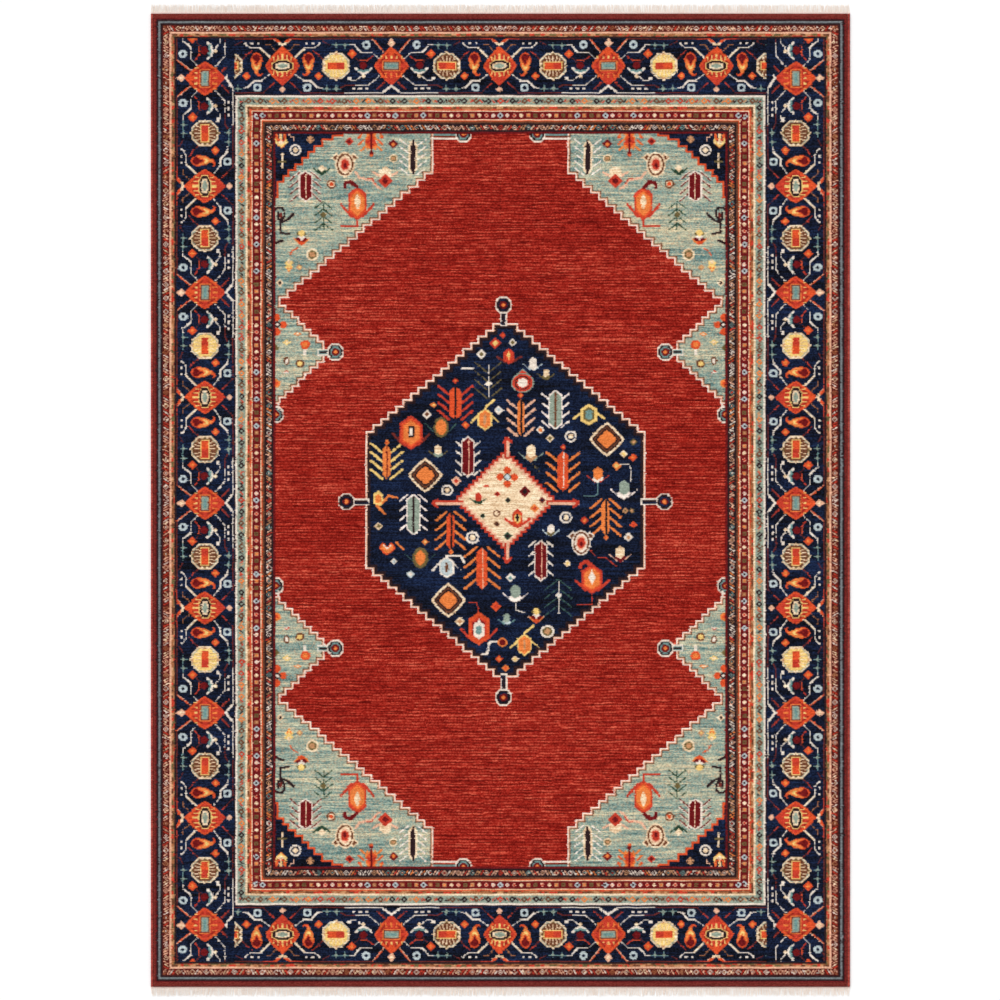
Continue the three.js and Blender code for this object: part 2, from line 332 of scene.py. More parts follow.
for star_u, star_v in ((36, 37), (69.5, 14)):
    unit.nest("diamond", star_u, star_v, (4.6, 5, "o"), (2.4, 2.4, "O"))
print("vines drawn")

# %% Border leaf, rosette and tulip
LEAF = """
.....oo.....
...oooooo...
..oodddooo..
.ooddddddo..
.oddddddddo.
ooddddddddo.
ooddddddddoo
oOdddrdddOoo
oOodddddoOOo
oOOodddooOOo
.OOodddoOOOo
.OOOoddoOOO.
.oOOodooOOO.
.oOyOooyOOO.
.oOyyOOyOOO.
..OOyyyyOOo.
..OOyyyyOO..
...OOyyOOo..
...OOOOOO...
....OOOO....
....OOOO....
....oOOo....
o..ooOo.....
oooooo......
.oooo.......
"""
unit.chart(26.5, 24, LEAF)
unit.line([(32, 12), (37, 16), (41, 20.5)], "m", 1)
unit.line([(31, 11), (36, 15)], "R", 1)
unit.nest("octagon", 53.7, MIDLINE, (13.4, 13.4, "c"), (12.2, 12.2, "S"), (11.4, 11.4, "B"))
unit.nest("diamond", 53.7, MIDLINE, (14, 16, "c"), (12.6, 14.2, "e"), (11.2, 12.4, "B"))
unit.fill("octagon", 53.7, MIDLINE, 11.2, 11.2, "B")
for ray in (-6, -3, 0, 3, 6):
    unit.line([(53.7 + ray, MIDLINE - 5), (53.7 + ray * 1.3, MIDLINE - 9.5)], "c")
    unit.line([(53.7 + ray, MIDLINE + 5), (53.7 + ray * 1.3, MIDLINE + 9.5)], "c")
unit.nest("block", 53.7, MIDLINE, (9.6, 4.6, "y"), (8.4, 3.6, "R"))
unit.fill("block", 50, MIDLINE, 3.6, 3, "o")
unit.line([(89, 29), (85, 33), (81, 34.5), (77, 33), (73.5, 29)], "w", 2)
unit.line([(86, 30.5), (81, 32), (76, 30.5)], "q", 2)
unit.fill("disc", 80.8, 25.6, 3.8, 4, "d")
unit.line([(77, 22), (73, 18)], "m")
unit.line([(84, 21.5), (90, 16.5)], "R")
unit.line([(77.5, 21), (84.5, 21)], "o")
unit.fill("diamond", 80.8, 37, 2.6, 2.6, "c")
unit.line([(78, 37.5), (73.5, 41.5), (69, 41.5)], "w")
unit.fill("block", 67, 39.5, 1.5, 1.5, "w")
print("leaf, rosette and tulip drawn")

# %% [markdown]
# ## The guards
# Narrow bands of slanting stitches, rosettes and beads run on each side of the main border. One
# strip of each is drawn from the middle of a side to its corner, and mirrored for the other half.

# %% Guard strips
HALF_STRIP = ROWS // 2


def stitched_guard(depth, ground, stitches, accents, seed, period, reach):
    """A small open flower in every `period` tufts, then a bunch of slanting stitches and a dot."""
    strip = Paper(depth, HALF_STRIP, ground)
    pick = np.random.default_rng(seed)
    middle = depth / 2
    for at in range(0, HALF_STRIP + period, period):
        petals, heart, dot = pick.choice(list(accents), 3)
        flower = [(3.1, reach + 1.4, petals), (1.7, reach, ground), (0.8, 0.8, heart)]
        strip.nest("diamond", at, middle, *flower)
        lean = int(pick.choice([-1, 1, 1]))
        for across in np.arange(at + 4.4, at + period - 3.6, 2.7):
            foot = (across - lean * reach * 0.7, middle + reach)
            head = (across + lean * reach * 0.7, middle - reach)
            strip.line([foot, head], pick.choice(list(stitches)), 1)
        strip.fill("block", at + period - 2.6, middle, 0.8, 0.8, dot)
    return strip.squares


outer_guard = stitched_guard(7, "g", "cpwpR", "wcptb", 11, 14, 1.6)
blue_guard = stitched_guard(8, "S", "kRBkBROt", "RkBROB", 12, 12, 1.8)
navy_guard = stitched_guard(9, "k", "pwOwtpR", "wptqR", 13, 14, 2.1)

bead_guard = Paper(8, HALF_STRIP, "d")
BEADS = [("v", "k"), ("c", "c"), ("b", "t"), ("p", "R"), ("e", "B"), ("w", "p"), ("t", "O")]
for place in range(0, HALF_STRIP // 7 + 1):
    ring, core = BEADS[(place * 5 + place // 6) % len(BEADS)]
    if ring == "v":
        bead_guard.nest("disc", place * 7, 4, (2.7, 2.9, ring), (1.4, 1.4, core))
    elif ring in "cpw":
        bead_guard.nest("diamond", place * 7, 4, (2.4, 2.6, ring), (1.2, 1.2, core))
    else:
        bead_guard.nest("block", place * 7, 4, (1.6, 2.2, ring), (0.8, 1.1, core))
bead_guard = bead_guard.squares


def dashes(yarns, seed):
    """Short runs of one yarn after another, as in a line of overcast stitches."""
    pick = np.random.default_rng(seed)
    run = []
    while len(run) < HALF_STRIP:
        run += [CODE[pick.choice(list(yarns))]] * int(pick.integers(2, 6))
    return np.array(run[:HALF_STRIP], np.uint8)


print("guards drawn:", outer_guard.shape, blue_guard.shape, bead_guard.shape, navy_guard.shape)

# %% Put the bands together
down, across = np.indices((ROWS, TUFTS))
from_end = np.minimum(down, ROWS - 1 - down)
from_side = np.minimum(across, TUFTS - 1 - across)
depth = np.minimum(from_end, from_side)
on_end = from_end <= from_side
along = np.where(on_end, abs(across - TUFTS // 2 + 0.5), abs(down - ROWS // 2 + 0.5)).astype(int)

LINES = [
    (0, 5, "m"), (5, 6, "d"), (6, 8, "k"), (8, 10, "u"), (10, 12, "k"), (19, 21, "p"),
    (24, 26, "k"), (84, 85, "k"), (85, 87, "w"), (95, 97, "c"), (100, 101, "o"), (101, 102, "c"),
    (110, 111, "c"), (111, 112, "o"),
    (112, 114, "B"), (123, 125, "d"),
]
design = np.full((ROWS, TUFTS), CODE["f"], np.uint8)
for outer, inner, yarn in LINES:
    design[(depth >= outer) & (depth < inner)] = CODE[yarn]
for outer, strip in ((12, outer_guard), (87, blue_guard), (102, bead_guard), (114, navy_guard)):
    band = (depth >= outer) & (depth < outer + len(strip))
    design[band] = strip[depth[band] - outer, along[band]]
for outer, inner, yarns, seed in ((21, 24, "bBbtRe", 21), (97, 100, "bbRBtB", 22)):
    for line_depth in range(outer, inner):
        band = depth == line_depth
        design[band] = dashes(yarns, seed + (line_depth - outer) // 2)[along[band]]

SIDE_PITCH = 110.3
BAND = 26
BAND_END = BAND + BAND_DEPTH
sides = (from_side >= BAND) & (from_side < BAND_END) & (from_end >= BAND)
# A weaver doesn't beat every row equally hard, so the repeats creep by a few rows along a side.
CREEP_AT = [0, 0.07, 0.2, 0.4, 0.57, 0.72, 0.87, 0.95]
CREEP_ROWS = [1.5, 2.6, 4.8, 3.4, 2.5, 0, -0.6, 0.6]
side_creep = np.interp(down / ROWS, CREEP_AT, CREEP_ROWS)
end_creep = np.interp(across / TUFTS, [0.35, 0.9], [0, -2])
side_turn = (down + 0.5 - side_creep - ROWS / 2) / SIDE_PITCH
from_lozenge = 1 - abs((side_turn + 1) % 2 - 1)
along_unit = np.minimum(from_lozenge[sides] * UNIT, UNIT - 1).astype(int)
design[sides] = unit.squares[from_side[sides] - BAND, along_unit]
ends = (from_end >= BAND) & (from_end < BAND_END) & (from_side >= BAND_END)
end_turn = (across + 0.5 - end_creep - TUFTS / 2) / UNIT
from_lozenge = abs((end_turn + 1) % 2 - 1)
along_unit = np.minimum(from_lozenge[ends] * UNIT, UNIT - 1).astype(int)
design[ends] = unit.squares[from_end[ends] - BAND, along_unit]

# The inner line of a side stops short of the corner, and two rosettes of each side are yellow.
CORNER_GAP = 68
INNER_LINE = 77
design[sides & (from_end < CORNER_GAP) & (from_side >= INNER_LINE)] = CODE["n"]
YELLOW_ROSETTE = 1.5
for band, turn in ((sides, side_turn), (ends, end_turn)):
    rosette = band & (abs(abs(turn) - YELLOW_ROSETTE) < 0.16)
    design[rosette & (design == CODE["B"])] = CODE["y"]
    design[rosette & (design == CODE["e"])] = CODE["t"]
print("border design:", design.shape, "squares")

# %% [markdown]
# ## The field
# The red field has four corners, each with a navy triangle, a light blue spandrel and a smaller
# side spandrel. Their edges climb in steps of a few tufts, because a weaver can't cut a square.
# One corner is drawn, and the other three are its mirror images.

# %% Stepped outlines
def stepped(start, end, steps, across_first):
    """Square-cornered line between two corners, in treads and risers of whole tufts and rows."""
    corners = []
    x, y = start
    for i in range(1, steps + 1):
        next_x = math.floor(start[0] + (end[0] - start[0]) * i / steps + 0.5)
        next_y = math.floor(start[1] + (end[1] - start[1]) * i / steps + 0.5)
        corners += [(next_x, y) if across_first else (x, next_y), (next_x, next_y)]
        x, y = next_x, next_y
    return corners


def squares_inside(outline, rows, tufts):
    """The squares inside a square-cornered outline: each upright side turns what is right of it."""
    mask = np.zeros((rows, tufts), bool)
    for (x0, y0), (x1, y1) in zip(outline, outline[1:] + outline[:1]):
        if x0 == x1:
            mask[min(y0, y1) : max(y0, y1), x0:] ^= True
    return mask


def near(mask, reach):
    """The mask grown by `reach` squares in every direction."""
    grown = mask.copy()
    for step in range(1, reach + 1):
        grown[step:] |= mask[:-step]
        grown[:-step] |= mask[step:]
    sideways = grown.copy()
    for step in range(1, reach + 1):
        sideways[:, step:] |= grown[:, :-step]
        sideways[:, :-step] |= grown[:, step:]
    return sideways


NECK = (5, 172)
NOSE = (49, 215)
NOSE_END = (49, 238)
TREADS = [(68, 3), (58, 7), (48, 14), (40, 20), (34, 26), (28, 33), (21, 39), (14, 45), (9, 51), (3, 67)]
corner_steps = []
row_above = 0
for tread_tuft, tread_row in TREADS:
    corner_steps += [(tread_tuft, row_above), (tread_tuft, tread_row)]
    row_above = tread_row
corner_steps.append((0, row_above))
spandrel_steps = [(158, 0), (158, 42), *stepped((158, 42), (13, 171), 19, True), (5, 171), NECK]
SIDE_END = (5, 281)
climb, descent = stepped(NECK, NOSE, 7, False), stepped(NOSE_END, SIDE_END, 7, True)
side_steps = [NECK, *climb, NOSE_END, *descent, (0, SIDE_END[1])]

quarter_size = (FIELD_ROWS, FIELD_TUFTS)
in_triangle = squares_inside([(0, 0), *corner_steps], *quarter_size)
in_spandrel = squares_inside([(0, 0), *spandrel_steps, (0, NECK[1])], *quarter_size) & ~in_triangle
in_side = squares_inside([(0, NECK[1]), *side_steps], *quarter_size)
print("squares in one corner:", int(in_triangle.sum()), int(in_spandrel.sum()), int(in_side.sum()))

# %% Medallion outlines
MEDALLION_TUFT = TUFTS // 2 + 5
rim = [(13, 184), *stepped((13, 184), (140, 72), 17, False)]
bite = [(3, 48), *stepped((3, 48), (47, 3), 11, False)]


def four_ways(quarter):
    """A quarter outline mirrored left and right, and up and down, round the medallion's centre."""
    right = quarter + [(x, -y) for x, y in reversed(quarter)]
    whole = right + [(-x, y) for x, y in reversed(right)]
    return [(x + MEDALLION_TUFT, y + ROWS // 2) for x, y in whole]


in_medallion = squares_inside(four_ways(rim), ROWS, TUFTS)
in_centre = squares_inside(four_ways(bite), ROWS, TUFTS)
in_medallion &= ~in_centre
print("medallion squares:", int(in_medallion.sum()), "centre:", int(in_centre.sum()))

# %% [markdown]
# The motifs of a village rug are small trees, fruits, tulips and birds, built from the same few
# strokes. A handful of helpers draws the ones that repeat, and charts of letters the odd ones.

# %% Strokes shared by the motifs
def tree(paper, x, y, half, trunk, vein, twig, tiers, reach, up=True, outline=None, weight=1):
    """A leafy stalk: a trunk of half width and half height, a vein, and slanting twigs both sides."""
    half_x, half_y = half
    way = -1 if up else 1
    for tier in range(tiers):
        foot = y - way * half_y * (1 - 2 * tier / tiers)
        for side in (-1, 1):
            near_x, far_x = x + side * half_x, x + side * (half_x + reach)
            if outline:
                paper.line([(near_x, foot - 1), (far_x, foot - 1 + way * reach * 0.85)], outline)
            paper.line([(near_x, foot), (far_x, foot + way * reach * 0.85)], twig, weight)
    if outline:
        paper.fill("leaf", x, y, half_x + 1.1, half_y + 1.8, outline)
    if half_x > 1:
        paper.fill("leaf", x, y, half_x, half_y, trunk)
    paper.line([(x + 0.5, y - half_y + 1.5), (x + 0.5, y + half_y - 1.5)], vein, 2 if vein in "kB" else 1)


def fruit(paper, x, y, half_x, half_y, rinds, core, stem=(), arms="R"):
    """A pomegranate: rinds one inside the other, a pale core, and arms curving up from its foot."""
    for side in (-1, 1):
        foot = (x + side * half_x * 0.6, y + half_y * 0.75)
        paper.line([foot, (x + side * (half_x + 7), y + half_y * 0.05)], arms, 2)
    sizes = np.linspace(1, 0.55, len(rinds))
    for size, rind in zip(sizes, rinds):
        paper.fill("fruit", x, y, half_x * size, half_y * size, rind)
    paper.fill("diamond", x, y - half_y * 0.1, half_x * 0.38, half_y * 0.5, core)
    if stem:
        paper.line(stem, arms, 1)


def star(paper, x, y, size, outer, core):
    paper.nest("diamond", x, y, (size, size, outer), (size * 0.5, size * 0.5, core))


def ring(paper, x, y, size, outer, gap, core):
    size *= 0.92
    for share, yarn in ((1, outer), (0.68, gap), (0.45, core)):
        paper.fill("disc", x, y, size * share, size * share, yarn)


def tulip(paper, x, y, size, bloom, cup, arms):
    """A bud held in a cup, with an arm on each side."""
    paper.line([(x - size * 1.9, y), (x - size * 0.5, y + size * 1.2)], arms)
    paper.line([(x + size * 1.9, y), (x + size * 0.5, y + size * 1.2)], arms)
    paper.fill("diamond", x, y + size * 0.6, size, size * 0.95, cup)
    paper.fill("fruit", x, y - size * 0.3, size * 0.72, size * 1.15, bloom)


def eared_flower(paper, x, y, rim, band):
    """A round bloom with two drooping ears."""
    for side in (-1, 1):
        paper.nest("diamond", x + side * 8.5, y - 7, (5.2, 5.2, rim), (3.4, 3, band))
    petals = [(9.6, 13, rim), (8.2, 11.4, band), (6.4, 9.6, rim), (5, 7.6, "p"), (4, 5.6, "R")]
    paper.nest("disc", x, y, *petals)
    paper.fill("diamond", x, y + 1, 2.2, 3, "d")


def eight_sided(paper, x, y):
    frames = [(17.5, 18, "c"), (14.6, 15, "k"), (13, 13.4, "B"), (11.4, 11.6, "k"), (9.4, 9.6, "O")]
    paper.nest("lozenge", x, y, *frames)


def pendant(paper, from_x, from_y, to_x, to_y, ground):
    """A stem of two pale lines that ends in a ringed bead, as hangs from a medallion."""
    for yarn, weight in (("w", 7), (ground, 4), ("k", 2)):
        paper.line([(from_x, from_y), (to_x, to_y)], yarn, weight)
    rings = [(8.4, 8.6, "w"), (6.8, 7, "k"), (5.4, 5.6, ground), (3.6, 3.8, "d"), (2, 2, "O")]
    paper.nest("octagon", to_x, to_y, *rings)


print("motif helpers ready")

# %% Charts of the odd motifs
CORNER_TULIP = """
oO..cyc..Oo.
ooO.cyc.Ooo.
ooO.cyc.Ooo.
Ooo.cyc.ooO.
Ooo.yyy.ooO.
yoO.ocO.Ooy.
yoooocooooyy
yy.occco.yyy
yyyccccccyyy
ycyccccccycy
.yyycccyyyy.
..yyycyyyO..
...OyyyyO...
....OyyO....
.....OO.....
"""
BLOSSOM = """
...tt...
.tttttt.
.BttttB.
t.tttt.t
tttttttt
.tBttBt.
..tttt..
...tt...
"""
BOWL = """
........c........
.......ccc.......
......ccccc......
G....cccccccc...G
GG...ccccccc...GG
.GG.GGcccccG..GG.
..GGGGGcccGGGGG..
...GGGGGcGGGGG...
....GGGGGGGGG....
......GGGGG......
.......GGG.......
"""
HANGING_TREE = """
....oO....OOOoddoOOO...Oo..
...oO.....OOOoddoOO.....Oo.
..oOO.....OOooddooO....OOOo
.oooO....OOoooddoooO...Oooo
.ooo.....OOoooddooOO....ooo
.........OoooRddRooOO......
......oO.OoRRRddRRoOOOo....
.....ooO..RRRRddRRR..Ooo...
....ooO..RRRRRddRRRR..Ooo..
...ooO...ORRRoddoRRRO..Ooo.
..oOO....OOoooddooooO...Ooo
.oOO.....OOoooddooooO....OO
.........OOOooddoooOO......
.......OOOOOOoddoOOOOOO....
......OOO.OOOOddOOOO.OOO...
.....OOO..OO.OddO.OO..OOO..
....OOO....O..dd..O....OOO.
...OOO........dd........OO.
..............dd...........
.............dddd..........
.............dddd..........
.............RooR..........
.............oOOo..........
..............oo...........
"""
CROWNED_FLOWER = """
.......yyyy.......
......yyyyyy......
.....eyyyyyye.....
....eeyyyyyyee....
....eeyyyyyyee....
.....eeyyyyee.....
......wwyyww......
.....wwwwwwww.....
.p..ddwwwwwwdd..p.
.pOdddddwwdddddOp.
..OOddddwwddddOO..
...OOoddoodddOO...
....OOooooooOO....
.....OooooooO.....
......oooooo......
........oo........
"""
CANDLE_FLOWER = """
....c....
...ccc...
..yccccy.
.yycccyy.
yyycccyyy
.yyyyyyy.
..yyyyy..
.yyyyyyy.
yyOyyyOyy
.yOOyOOy.
..OOyOO..
...yyy...
...OOO...
....O....
"""
HEART = """
...oo......oo...
..oooo....oooo..
.ooOwo....owOoo.
.oOOwwo..owwOOo.
ooOOOwwoowwOOOoo
ooOOOOwwwwOOOOoo
ooOOOOOwwOOOOOoo
.ooOOOOOOOOOOoo.
..ooOOOOOOOOoo..
...ooOOOOOOoo...
....ooOOOOoo....
.....ooooo......
......ooo.......
"""
print("charts ready")

# %% One corner of the field
corner = Paper(FIELD_ROWS, FIELD_TUFTS, "f")
corner.squares[in_spandrel | in_side] = CODE["s"]
corner.squares[in_triangle] = CODE["n"]
blue = in_spandrel | in_side
red = ~(blue | in_triangle)
for reach, yarn in ((3, "B"), (2, "p"), (1, "x")):
    corner.squares[blue & near(red, reach)] = CODE[yarn]
corner.squares[in_triangle & near(blue, 2)] = CODE["o"]

corner.chart(5.5, 8, CORNER_TULIP)
corner.line([(13.6, 0), (16, 3.5), (19, 4), (19, 7.5)], "p")
corner.squares[:3, 158:182] = CODE["q"]
ring(corner, 20, 17, 6.4, "w", "n", "c")
corner.chart(34.7, 6.5, BLOSSOM)
corner.line([(6.7, 21), (6.7, 35)], "c", 2)
corner.line([(3.5, 28.5), (10, 28.5)], "e", 2)
tree(corner, 30.2, 54.5, (5.6, 14.5), "d", "c", "m", 4, 10, up=False, outline="w")
corner.chart(46.3, 38, BOWL)
eared_flower(corner, 69.6, 32, "c", "B")
ring(corner, 55.9, 52.2, 5, "B", "c", "o")
corner.chart(94.9, 12, HANGING_TREE)
star(corner, 73.7, 8, 4.6, "R", "d")
star(corner, 118, 10.9, 5, "d", "O")
ring(corner, 118, 25.5, 4.6, "c", "e", "t")
tree(corner, 137.5, 24.5, (4, 18.5), "c", "k", "x", 5, 9, up=True)
corner.fill("leaf", 137.5, 24.5, 2, 16.5, "k")
corner.line([(110 - 12, 40), (110 - 4, 45)], "p", 2)
corner.line([(110 + 12, 40), (110 + 4, 45)], "p", 2)
corner.fill("fruit", 110, 41, 5.6, 7, "c")
corner.nest("diamond", 110, 49, (7.2, 7.4, "R"), (3.5, 3.8, "d"))
corner.line([(105, 57), (101, 54), (96.8, 48), (93, 47.8), (84, 45.5), (80, 40)], "p", 2)
corner.line([(101, 53), (96.8, 47), (93, 46.8)], "R")
fruit(corner, 82, 72.5, 9.4, 18, "RoOO", "c")
corner.line([(66, 96), (82, 96), (82, 88)], "R", 2)
corner.line([(69, 55), (70.5, 51), (75, 49.7), (81, 55)], "d", 3)
tree(corner, 48, 86, (0.6, 15), "G", "G", "G", 4, 8, up=False)
corner.fill("diamond", 48, 84, 3, 4, "e")
corner.line([(0, 78.5), (3, 76.5), (6, 76.5), (9, 80), (9, 86), (6, 90), (2.5, 88), (2.5, 82)], "k", 2)
corner.line([(7, 92), (13, 88.5), (18, 83.5)], "k", 2)
corner.line([(5.5, 90), (5.5, 103), (13, 104)], "k", 2)
corner.fill("diamond", 5.5, 85, 2, 3, "m")
corner.line([(0, 114), (7, 110.5)], "k", 2)
corner.chart(25.6, 108, CROWNED_FLOWER)
corner.line([(22, 119), (17, 122), (14, 127)], "o")
ring(corner, 36.8, 125.5, 6.8, "c", "e", "t")
corner.chart(13.6, 137, CANDLE_FLOWER)
star(corner, 24, 139, 3, "t", "y")
star(corner, 4.5, 155.3, 4, "c", "k")
print("spandrel drawn")

# %% Side spandrel, its pendant and the half beads on the field's edge
for x, y in ((1.5, 191), (7.8, 198.6), (1.5, 206)):
    corner.fill("disc", x, y, 3.8, 3.8, "o")
corner.nest("diamond", 2, 198.6, (4, 4, "k"), (2.4, 2.4, "w"))
corner.nest("diamond", 22, 208.2, (4.4, 2.2, "O"), (2.2, 1.2, "c"))
corner.nest("diamond", 11.4, 216.7, (4.4, 3.2, "y"), (2.4, 1.6, "c"))
corner.nest("disc", 29.8, 219.3, (4.8, 4.8, "o"), (2.6, 2.6, "O"))
corner.fill("block", 29.8, 227, 1.6, 2.6, "w")
corner.nest("diamond", 0, 222.5, (3.5, 4, "e"))
corner.nest("disc", 11.4, 236.3, (3, 4.4, "B"), (1.6, 2.8, "w"))
corner.nest("disc", 24.7, 239, (4.4, 4.2, "B"), (2.8, 2.6, "y"))
corner.line([(9, 248), (11, 246.5), (13.5, 248.5)], "R")
corner.line([(9, 249), (11, 247.5), (13.5, 249.5)], "w")
corner.nest("disc", 1, 259.7, (4.4, 4.4, "O"), (2, 2, "o"))
pendant(corner, 45, 227, 60, 227, "q")
corner.line([(156, 4.5), (182, 4.5)], "w", 2)
corner.line([(156, 2.5), (182, 2.5)], "B")
pendant(corner, 188, 0, 188, 0, "q")
pendant(corner, 0, 292, 0, 292, "q")
corner.line([(3.5, 281), (3.5, 286)], "w", 2)
print("corner drawn")

# %% Put the corners together
quarters = {
    ("head", "left"): (slice(BORDER, ROWS // 2), slice(BORDER, TUFTS // 2), 1, 1),
    ("head", "right"): (slice(BORDER, ROWS // 2), slice(TUFTS // 2, TUFTS - BORDER), 1, -1),
    ("foot", "left"): (slice(ROWS // 2, ROWS - BORDER), slice(BORDER, TUFTS // 2), -1, 1),
    ("foot", "right"): (slice(ROWS // 2, ROWS - BORDER), slice(TUFTS // 2, TUFTS - BORDER), -1, -1),
}
for rows, tufts, down_step, across_step in quarters.values():
    design[rows, tufts] = corner.squares[::down_step, ::across_step]

design[in_medallion] = CODE["n"]
outside = ~(in_medallion | in_centre)
for reach, yarn in ((5, "k"), (2, "p"), (1, "x")):
    design[in_medallion & near(outside, reach)] = CODE[yarn]
design[in_centre] = CODE["c"]
design[in_centre & near(in_medallion, 2)] = CODE["p"]
design[in_medallion & near(in_centre, 2)] = CODE["R"]
print("field drawn")

# %% [markdown]
# The medallion isn't symmetric: its trees and fruits are strewn over the navy ground as a weaver
# would place them by eye. Their places are counted from the middle of the medallion.

# %% Medallion paper
paper = Paper(ROWS, TUFTS, "n", origin=(MEDALLION_TUFT, ROWS // 2))
paper.squares = design
pendant(paper, -2, -184, -2, -203, "n")
pendant(paper, -2, 184, -2, 205, "n")
pendant(paper, -139, 1.5, -159, 1.5, "n")
pendant(paper, 139, 1.5, 159, 1.5, "n")

# %% Arms and motifs of the cream centre
for side in (-1, 1):
    paper.line([(side * 44, 3), (side * 71, 3)], "R", 5)
    paper.line([(side * 44, 3), (side * 72, 3)], "p", 3)
    paper.line([(side * 68, -1), (side * 73, 3), (side * 68, 7)], "R", 2)
    paper.line([(2, side * 46), (2, side * 63)], "R", 5)
    paper.line([(2, side * 46), (2, side * 64)], "p", 3)
    paper.line([(-2, side * 60), (2, side * 65), (6, side * 60)], "R", 2)
for x, y in ((2, -31), (2, -17), (-5, -24), (9, -24)):
    paper.fill("disc", x, y, 3.6, 3.6, "o")
paper.nest("diamond", 2, -24, (4.6, 4.6, "k"), (3, 3, "v"))
star(paper, 19.3, -9, 6.2, "d", "k")
star(paper, 37, 0, 3.8, "m", "n")
star(paper, 2.5, 0, 3, "G", "k")
star(paper, 29.2, 8.3, 4.8, "O", "R")
fruit(paper, 12, 19, 5, 10, "Roy", "k")
star(paper, 2, 37, 4, "G", "k")
star(paper, -8.3, -6.6, 3, "R", "d")
paper.fill("diamond", -19, -14.8, 4, 1.4, "R")
tulip(paper, -27.3, -2, 4.2, "R", "G", "G")
star(paper, -22.7, 16, 2.8, "G", "k")
ring(paper, -8.8, 13.6, 3.8, "B", "c", "c")
star(paper, -8.8, 24.6, 3.2, "B", "k")

# %% Trees of the medallion: place, half size, colours, tiers, reach, which way the twigs point
TREES = [
    (-50, -101, (6.2, 17), "o", "k", "R", 4, 11, True, None),
    (15.4, -86, (3.8, 19), "O", "k", "p", 4, 10, True, None),
    (50, -94, (5.6, 19), "S", "B", "x", 4, 8, True, "x"),
    (-118.9, -40, (3.8, 18), "O", "d", "y", 4, 12, True, None),
    (-37.5, -45, (5.6, 20), "d", "p", "w", 4, 6, True, "w"),
    (57.9, -30, (5.6, 21), "o", "w", "O", 4, 11, True, None),
    (-92, 15, (5.6, 20), "S", "k", "x", 4, 8, False, "x"),
    (-54.6, 32, (4, 20), "o", "k", "O", 4, 11, False, None),
    (-23.1, 71, (5.6, 22), "o", "p", "O", 4, 12, False, None),
    (100.4, 18, (4, 19), "O", "k", "O", 4, 11, False, None),
    (35.6, 63, (5.6, 20), "d", "p", "w", 4, 6, False, "w"),
    (-17.1, -124, (1, 18), "w", "w", "e", 4, 12, True, None),
    (53, 101, (1, 18), "w", "w", "T", 4, 12, False, None),
]
for x, y, half, trunk, vein, twig, tiers, reach, up, outline in TREES:
    weight = 1 if outline or half[0] < 3 else 2
    tree(paper, x, y, half, trunk, vein, twig, tiers, reach, up, outline, weight)
for x, y in ((-50, -124), (15.4, -109), (57.9, -55)):
    star(paper, x, y, 3.6, "R", "O")
for x, y in ((-118.9, -60), (-54.6, 54), (100.4, 39)):
    star(paper, x, y, 3, "O", "o")
star(paper, -17.1, -121, 3.4, "w", "c")
star(paper, 53, 99, 3.4, "w", "v")
print(len(TREES), "trees")

# %% Fruits, tulips and eight-sided rosettes of the medallion
for x, y in ((101.4, -63.3), (-80, -25.9), (-57, 104.1)):
    eight_sided(paper, x, y)
fruit(paper, -94.4, -70, 11.4, 18, "RoOO", "O", arms="m")
paper.nest("block", -94.4, -71, (3, 5.8, "k"), (1.7, 4.2, "w"))
fruit(paper, 3.5, -149.7, 5, 8.4, "Ro", "y", arms="m")
fruit(paper, 86.5, 82, 10, 16, "RoOO", "w")
paper.line([(75, 70), (76, 66), (80.6, 63), (86.5, 69)], "R", 3)
paper.line([(72, 108.5), (86.5, 108.5), (86.5, 97)], "R")
fruit(paper, -26.6, 133.3, 10.8, 17.5, "ooRd", "w", stem=[(-27, 116), (-28.5, 107), (-36.6, 106.2)])
paper.nest("fruit", -26.6, 135, (5.4, 10, "w"), (3, 5, "q"))
paper.nest("disc", -64.3, -76, (7.6, 10.6, "e"), (5.4, 8, "O"))
paper.nest("disc", -85, 60, (8, 10.8, "e"), (4.8, 7.6, "O"))
for x, y in ((-64.3, -72), (-85, 63)):
    paper.line([(x - 15, y - 7), (x - 8, y)], "T")
    paper.line([(x + 15, y - 7), (x + 8, y)], "T")
paper.nest("diamond", 17.3, -131, (6.4, 6, "S"), (5, 4.6, "R"))
knobbed = [(11.4, 10.4, "S"), (10.2, 9.2, "R"), (7.8, 7.2, "k"), (6.8, 6.2, "R"), (5, 4.8, "w")]
paper.nest("disc", 17.3, -122, *knobbed)
tulip(paper, 27.2, -142, 5, "w", "w", "v")
tulip(paper, 40.6, -131, 4.2, "c", "e", "e")
tulip(paper, -67.5, -51, 4.8, "c", "S", "e")
tulip(paper, 25.7, -49, 6.4, "c", "t", "S")
paper.line([(27, -38), (34, -30)], "e")
tulip(paper, 92.5, -26, 6, "O", "w", "R")
paper.line([(92.5, -18), (92.5, -7), (89.5, -4.5), (78.6, -4.5)], "q")
tulip(paper, 118.7, -11, 7, "S", "x", "x")
paper.line([(114.7, -37.4), (124, -37.4), (126, -28.7), (125, -18.4)], "w", 1)
star(paper, 111.2, -35.9, 4.8, "O", "y")
tulip(paper, 45.5, 31, 4.4, "w", "e", "v")
tulip(paper, 114.7, 56, 6, "c", "d", "p")
paper.line([(111, 69), (100.4, 59.7), (91.5, 59.7), (84.6, 52.5)], "R")
eared_flower(paper, 75.7, 44.3, "w", "B")
tulip(paper, 9.8, 97, 6.6, "S", "x", "x")
paper.line([(10.3, 106), (10.3, 114), (19, 116.8)], "w")
tulip(paper, 1.1, 124, 4.4, "S", "v", "q")
paper.chart(30.7, 120, CROWNED_FLOWER)
paper.chart(-118.4, 50, HEART)
paper.line([(-109, 44), (-102, 51)], "O", 2)
print("fruits drawn")

